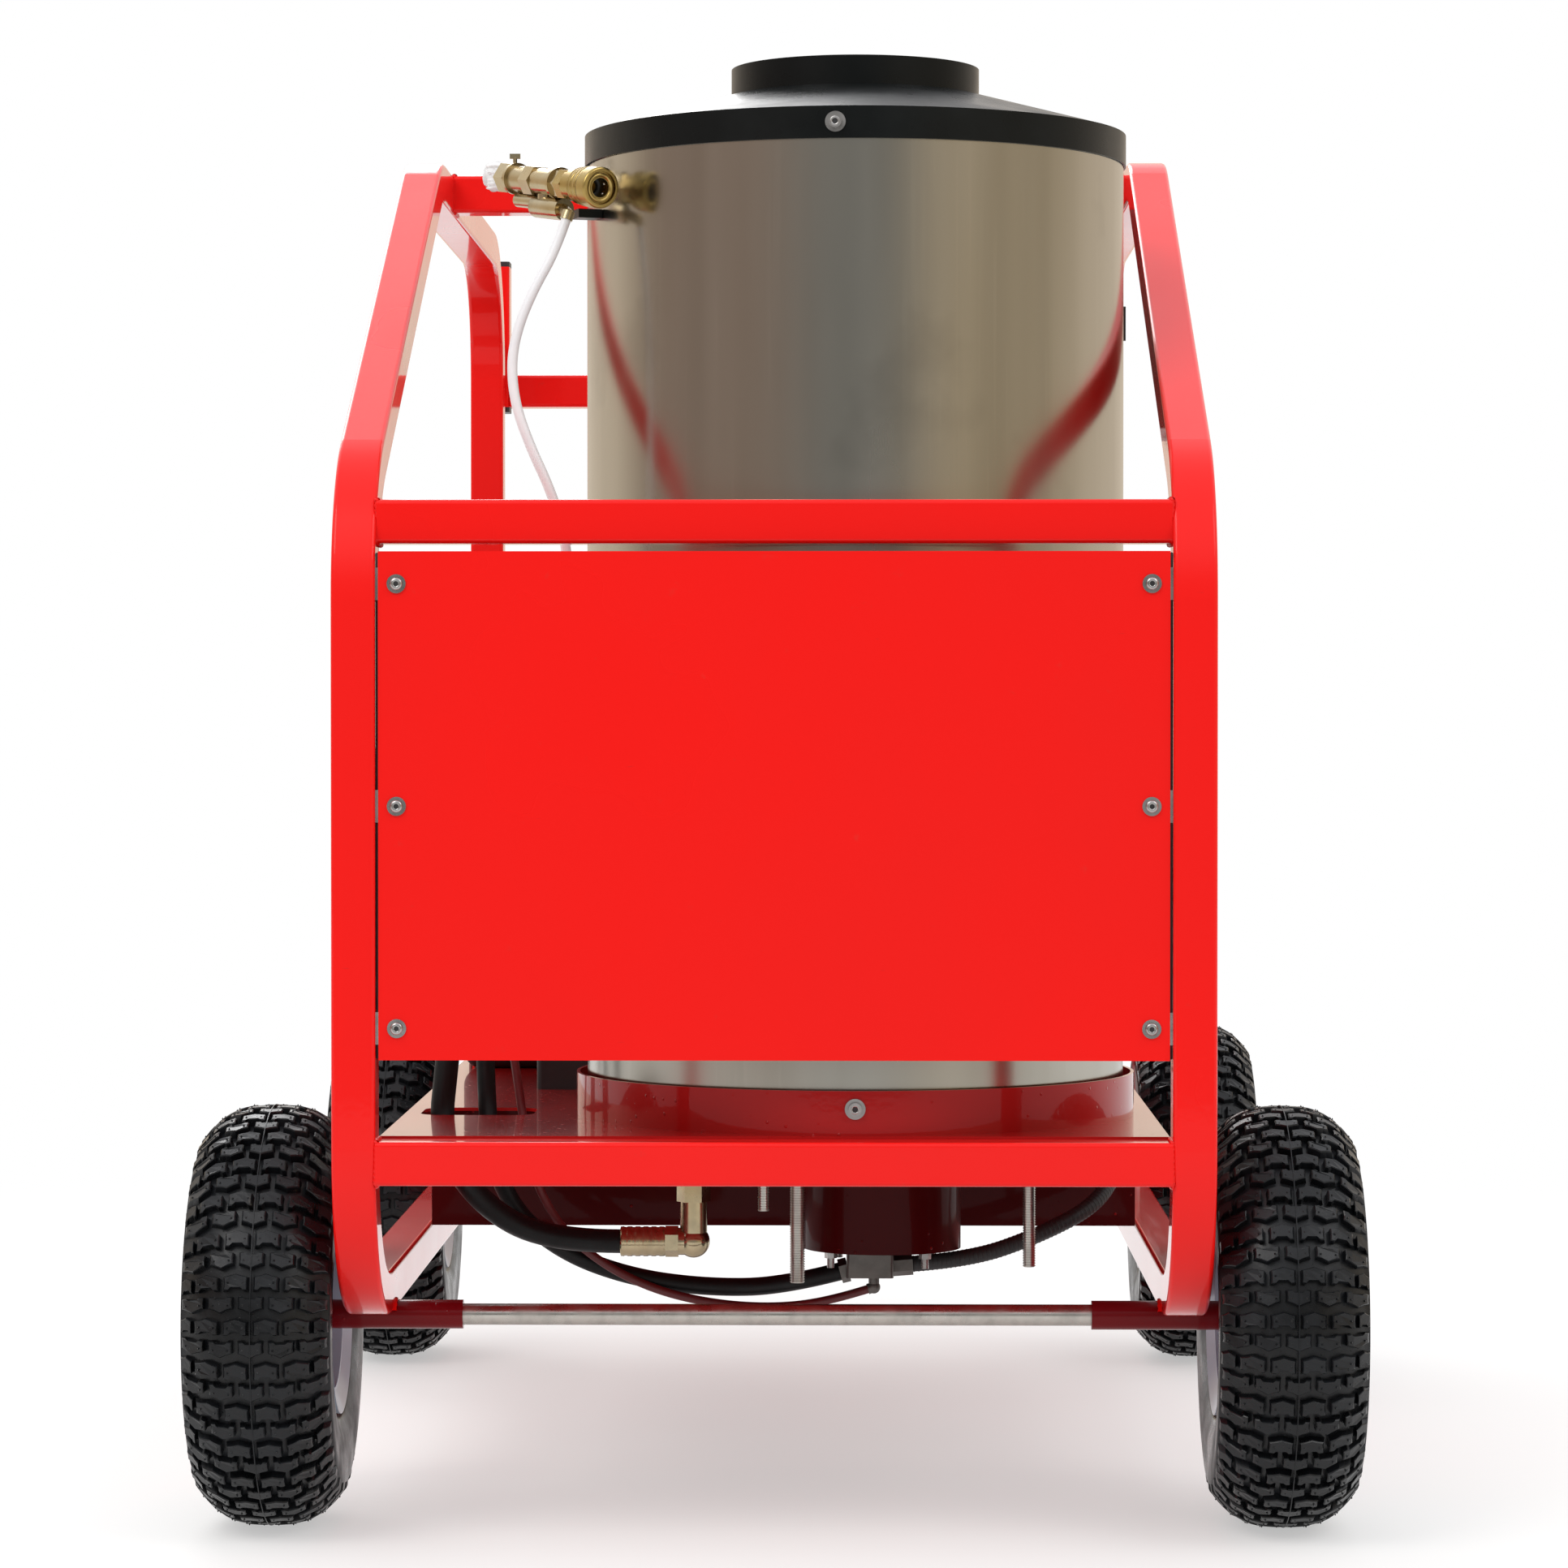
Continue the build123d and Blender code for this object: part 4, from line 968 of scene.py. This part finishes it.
def ribbon(name, path, low, high, thick, slot):
    """A flat strap along a path of (x, z, outward x, outward z), from y = low to y = high."""
    vertices = []
    for x, z, nx, nz in path:
        for y, lift in ((low, 0.0), (low, thick), (high, thick), (high, 0.0)):
            vertices.append((x + nx * lift, y, z + nz * lift))
    add_mesh(name, (vertices, bands(len(path) - 1, 4)), slot, smooth=False)


def tank_details():
    """Two straps over the tank and a moulding seam round it."""
    x0, x1, z0, z1, r = -0.334, -0.216, 0.364, 0.690, 0.018
    path = [(x0, z0, -1, 0)]
    for cx, start in ((x0 + r, 180), (x1 - r, 90)):
        for k in range(7):
            turn = math.radians(start - 15 * k)
            nx, nz = math.cos(turn), math.sin(turn)
            path.append((cx + r * nx, z1 - r + r * nz, nx, nz))
    path.append((x1, z0, 1, 0))
    for index, y in enumerate((0.105, 0.560)):
        ribbon("tank_strap_" + str(index), path, y, y + 0.026, 0.0016, "steel")
    y0, y1, z = 0.0, 0.640, 0.530
    loop = []
    corners = ((x1 - r, y1 - r, 0), (x0 + r, y1 - r, 90), (x0 + r, y0 + r, 180), (x1 - r, y0 + r, 270))
    for cx, cy, start in corners:
        for k in range(7):
            turn = math.radians(start + 15 * k)
            loop.append((cx, cy, math.cos(turn), math.sin(turn)))
    loop.append(loop[0])
    vertices = []
    faces = []
    ridge = ((-0.001, -0.004), (0.0022, -0.0025), (0.0022, 0.0025), (-0.001, 0.004))
    for cx, cy, nx, ny in loop:
        for lift, dz in ridge:
            vertices.append((cx + nx * (r + lift), cy + ny * (r + lift), z + dz))
    for row in range(len(loop) - 1):
        for k in range(3):
            a = row * 4 + k
            faces.append((a, a + 1, a + 5, a + 4))
    add_mesh("tank_seam", (vertices, faces), "tank_plastic")


# Centre lines of the muffler, the air filter and the dial, and the faces that carry details.
MUFFLER_Y, MUFFLER_Z = 0.640, 0.770
FILTER_X, FILTER_Y = -0.040, 0.262
ENGINE_REAR = 0.560
CONTROL_FACE = 0.335
DIAL_Y, DIAL_Z = 0.150, 1.140


def muffler_shield():
    """Slatted heat guard over the muffler's back and top, on two rails."""
    vertices = []
    faces = []

    def slat(x0, x1, low, high, radius, thick=0.0012):
        """A strip from x0 to x1, bent round the muffler between two angles in degrees."""
        steps = max(2, int((high - low) / 8))
        start = len(vertices)
        for k in range(steps + 1):
            turn = math.radians(low + (high - low) * k / steps)
            for x, r in ((x0, radius), (x1, radius), (x1, radius + thick), (x0, radius + thick)):
                vertices.append((x, MUFFLER_Y + r * math.cos(turn), MUFFLER_Z + r * math.sin(turn)))
        faces.extend(bands(steps, 4, start))
        for end in (start, start + 4 * steps):
            faces.append((end, end + 1, end + 2, end + 3))

    pitch, slat_width = 0.0185, 0.012
    for k in range(11):
        slat(-0.128 + pitch * k, -0.128 + slat_width + pitch * k, -25, 125, 0.0645)
    for low in (-28, 22, 72, 122):
        slat(-0.132, 0.072, low, low + 6, 0.0630)
    add_mesh("muffler_shield", (vertices, faces), "muffler_metal", smooth=False)
    rim = [(-0.004, 0.0578), (-0.003, 0.0600), (0.003, 0.0600), (0.004, 0.0578)]
    shape = join([lathe((x, MUFFLER_Y, MUFFLER_Z), (1, 0, 0), rim) for x in (-0.1335, 0.1135)])
    add_mesh("muffler_seams", shape, "muffler_metal")
    clamp = [(-0.006, 0.0151), (-0.006, 0.0172), (0.006, 0.0172), (0.006, 0.0151)]
    shape = lathe((0.100, MUFFLER_Y, 0.838), (0, 0, 1), clamp)
    add_mesh("exhaust_clamp", shape, "steel")


def engine_details():
    """Cover bolts, oil filler and drain on the engine's rear face, and the shroud's bolts."""
    rear = [(x, ENGINE_REAR, z) for x in (-0.104, 0.0, 0.104) for z in (0.452, 0.602)]
    hex_bolts("engine_cover_bolts", rear, (0, 1, 0), 0.0065, "steel")
    head = [(x, y, 0.868) for x in (-0.056, 0.056) for y in (0.374, 0.486)]
    hex_bolts("cylinder_head_bolts", head, (0, 0, 1), 0.0075, "steel")

    def flutes(distance, angle):
        return -0.0011 * max(0.0, math.cos(12 * angle)) if distance > 0.0061 else 0.0

    cap = [(0.0, 0.0125), (0.006, 0.0125), (0.0062, 0.0190), (0.0190, 0.0180), (0.0205, 0.0160),
           (0.0205, 0.0)]
    shape = lathe((0.062, ENGINE_REAR, 0.500), (0, 1, 0.15), cap, 24, flutes)
    add_mesh("oil_cap", shape, "black_plastic")
    hex_bolts("oil_drain", [(-0.052, ENGINE_REAR, 0.424)], (0, 1, 0), 0.0095, "brass")
    filter_details()
    shroud = []
    for k in range(8):
        turn = math.radians(22.5 + 45 * k)
        shroud.append((-0.189, 0.430 + 0.132 * math.cos(turn), 0.560 + 0.132 * math.sin(turn)))
    hex_bolts("shroud_bolts", shroud, (-1, 0, 0), 0.0048, "steel")


def filter_details():
    """Bands, ribs and the wing nut of the air filter."""
    band = [(-0.004, 0.0618), (-0.0035, 0.0632), (0.0035, 0.0632), (0.004, 0.0618)]
    shape = join([lathe((FILTER_X, FILTER_Y, z), (0, 0, 1), band) for z in (0.824, 0.888)])
    add_mesh("filter_bands", shape, "steel")
    rib = [(-0.0018, 0.0616), (0.0, 0.0629), (0.0018, 0.0616)]
    ribs = [lathe((FILTER_X, FILTER_Y, 0.835 + 0.0065 * k), (0, 0, 1), rib) for k in range(7)]
    shape = join(ribs)
    add_mesh("filter_ribs", shape, "filter_plastic")
    hub = [(0.0, 0.0078), (0.0, 0.0105), (0.007, 0.0090), (0.007, 0.0)]
    wing = [(0.0, 0.003), (0.004, 0.0042), (0.012, 0.0052), (0.017, 0.0036), (0.0185, 0.0)]
    pieces = [lathe((FILTER_X, FILTER_Y, 0.911), (0, 0, 1), hub, sides=20)]
    for side in (-1, 1):
        pieces.append(lathe((FILTER_X + side * 0.008, FILTER_Y, 0.914), (side, 0, 0.9), wing, sides=10))
    shape = join(pieces)
    add_mesh("filter_wing_nut", shape, "steel")


def guard_details():
    """The guard's rolled edge and its bolts."""
    points = []
    for cy, cz, radius in ((0.060, 0.505, 0.1308), (0.430, 0.525, 0.0748)):
        for k in range(72):
            turn = math.radians(5 * k)
            points.append(Vector((cy + radius * math.cos(turn), cz + radius * math.sin(turn))))
    hull = [points[i] for i in geometry.convex_hull_2d(points)]
    line = [Vector((0.2775, p.x, p.y)) for p in hull]
    line.append(line[0])
    right = Vector((1, 0, 0))
    vertices = []
    for index, spot in enumerate(line):
        ahead = line[(index + 1) % (len(line) - 1)] - line[(index - 1) % (len(line) - 1)]
        ahead.normalize()
        outward = ahead.cross(right)
        for k in range(8):
            turn = math.pi * k / 4
            vertices.append(spot + (outward * math.cos(turn) + right * math.sin(turn)) * 0.0026)
    add_mesh("guard_edge", (vertices, bands(len(line) - 1, 8)), "black_enamel")
    spots = [(0.278, y, z) for y, z in ((-0.023, 0.588), (-0.023, 0.422), (0.474, 0.569), (0.474, 0.481),
                                        (0.245, 0.600), (0.245, 0.430))]
    hex_bolts("guard_bolts", spots, (1, 0, 0), 0.0062, "steel")


def control_details():
    """Cover screws with flat dark marks in their slots as painted shade, a bezel round the switch, dial ticks
    and a cable gland.
    """
    corners = [(CONTROL_FACE, y, z) for y in (-0.008, 0.218) for z in (1.034, 1.228)]
    head = [(0.0, 0.0058), (0.0012, 0.0056), (0.0024, 0.0040), (0.0026, 0.0)]
    shape = join([lathe(spot, (1, 0, 0), head, sides=20) for spot in corners])
    add_mesh("control_screws", shape, "stainless_fasteners")
    # Flat dark crosses on the screw heads: painted shade in the slots.
    slots = []
    for x, y, z in corners:
        for dy, dz in ((0.0038, 0.0006), (0.0006, 0.0038)):
            mark = [(x + 0.0027, y + a * dy, z + b * dz) for a, b in ((-1, -1), (1, -1), (1, 1), (-1, 1))]
            slots.append((mark, [(0, 1, 2, 3)]))
    shape = join(slots)
    add_mesh("control_screw_slot_shade", shape, "black_plastic", smooth=False)
    ticks = []
    for k in range(11):
        turn = math.radians(-45 + 27 * k)
        side_y, side_z = -math.sin(turn) * 0.0007, math.cos(turn) * 0.0007
        mark = []
        for radius, half in ((0.0262, -1), (0.0315, -1), (0.0315, 1), (0.0262, 1)):
            mark.append((CONTROL_FACE + 0.0003, DIAL_Y + radius * math.cos(turn) + half * side_y,
                         DIAL_Z + radius * math.sin(turn) + half * side_z))
        ticks.append((mark, [(0, 1, 2, 3)]))
    shape = join(ticks)
    add_mesh("dial_ticks", shape, "white_tube", smooth=False)
    frames = []
    for y0, y1, z0, z1 in ((0.0390, 0.0425, 1.1220, 1.1580), (0.0675, 0.0710, 1.1220, 1.1580),
                           (0.0425, 0.0675, 1.1220, 1.1255), (0.0425, 0.0675, 1.1545, 1.1580)):
        points = [(x, y, z) for x in (CONTROL_FACE, 0.3366) for y in (y0, y1) for z in (z0, z1)]
        sides = [(0, 1, 3, 2), (4, 6, 7, 5), (0, 4, 5, 1), (2, 3, 7, 6), (0, 2, 6, 4), (1, 5, 7, 3)]
        frames.append((points, sides))
    shape = join(frames)
    add_mesh("switch_bezel", shape, "black_plastic", smooth=False)
    gland = [(0.0, 0.0150), (0.004, 0.0150), (0.004, 0.0120), (0.010, 0.0120), (0.013, 0.0095),
             (0.017, 0.0085), (0.017, 0.0)]
    shape = lathe((0.275, 0.100, 1.020), (0, 0, -1), gland, sides=12)
    add_mesh("control_gland", shape, "black_plastic", smooth=False)


def battery_details():
    """Vent caps and a hold-down bar across the battery."""
    cap = [(0.0, 0.0078), (0.0025, 0.0076), (0.0032, 0.0066), (0.0032, 0.0)]
    vents = [lathe((-0.2225 + 0.019 * k, -0.150, 0.547), (0, 0, 1), cap, sides=20) for k in range(6)]
    shape = join(vents)
    add_mesh("battery_vents", shape, "black_plastic")
    path = [(-0.2462, 0.540, -1, 0), (-0.2462, 0.5475, -0.7, 0.7),
            (-0.1038, 0.5475, 0.7, 0.7), (-0.1038, 0.540, 1, 0)]
    ribbon("battery_strap", path, -0.200, -0.178, 0.002, "steel")


screw_details()
panel_gap_shade_strips()
tank_details()
muffler_shield()
engine_details()
guard_details()
control_details()
battery_details()
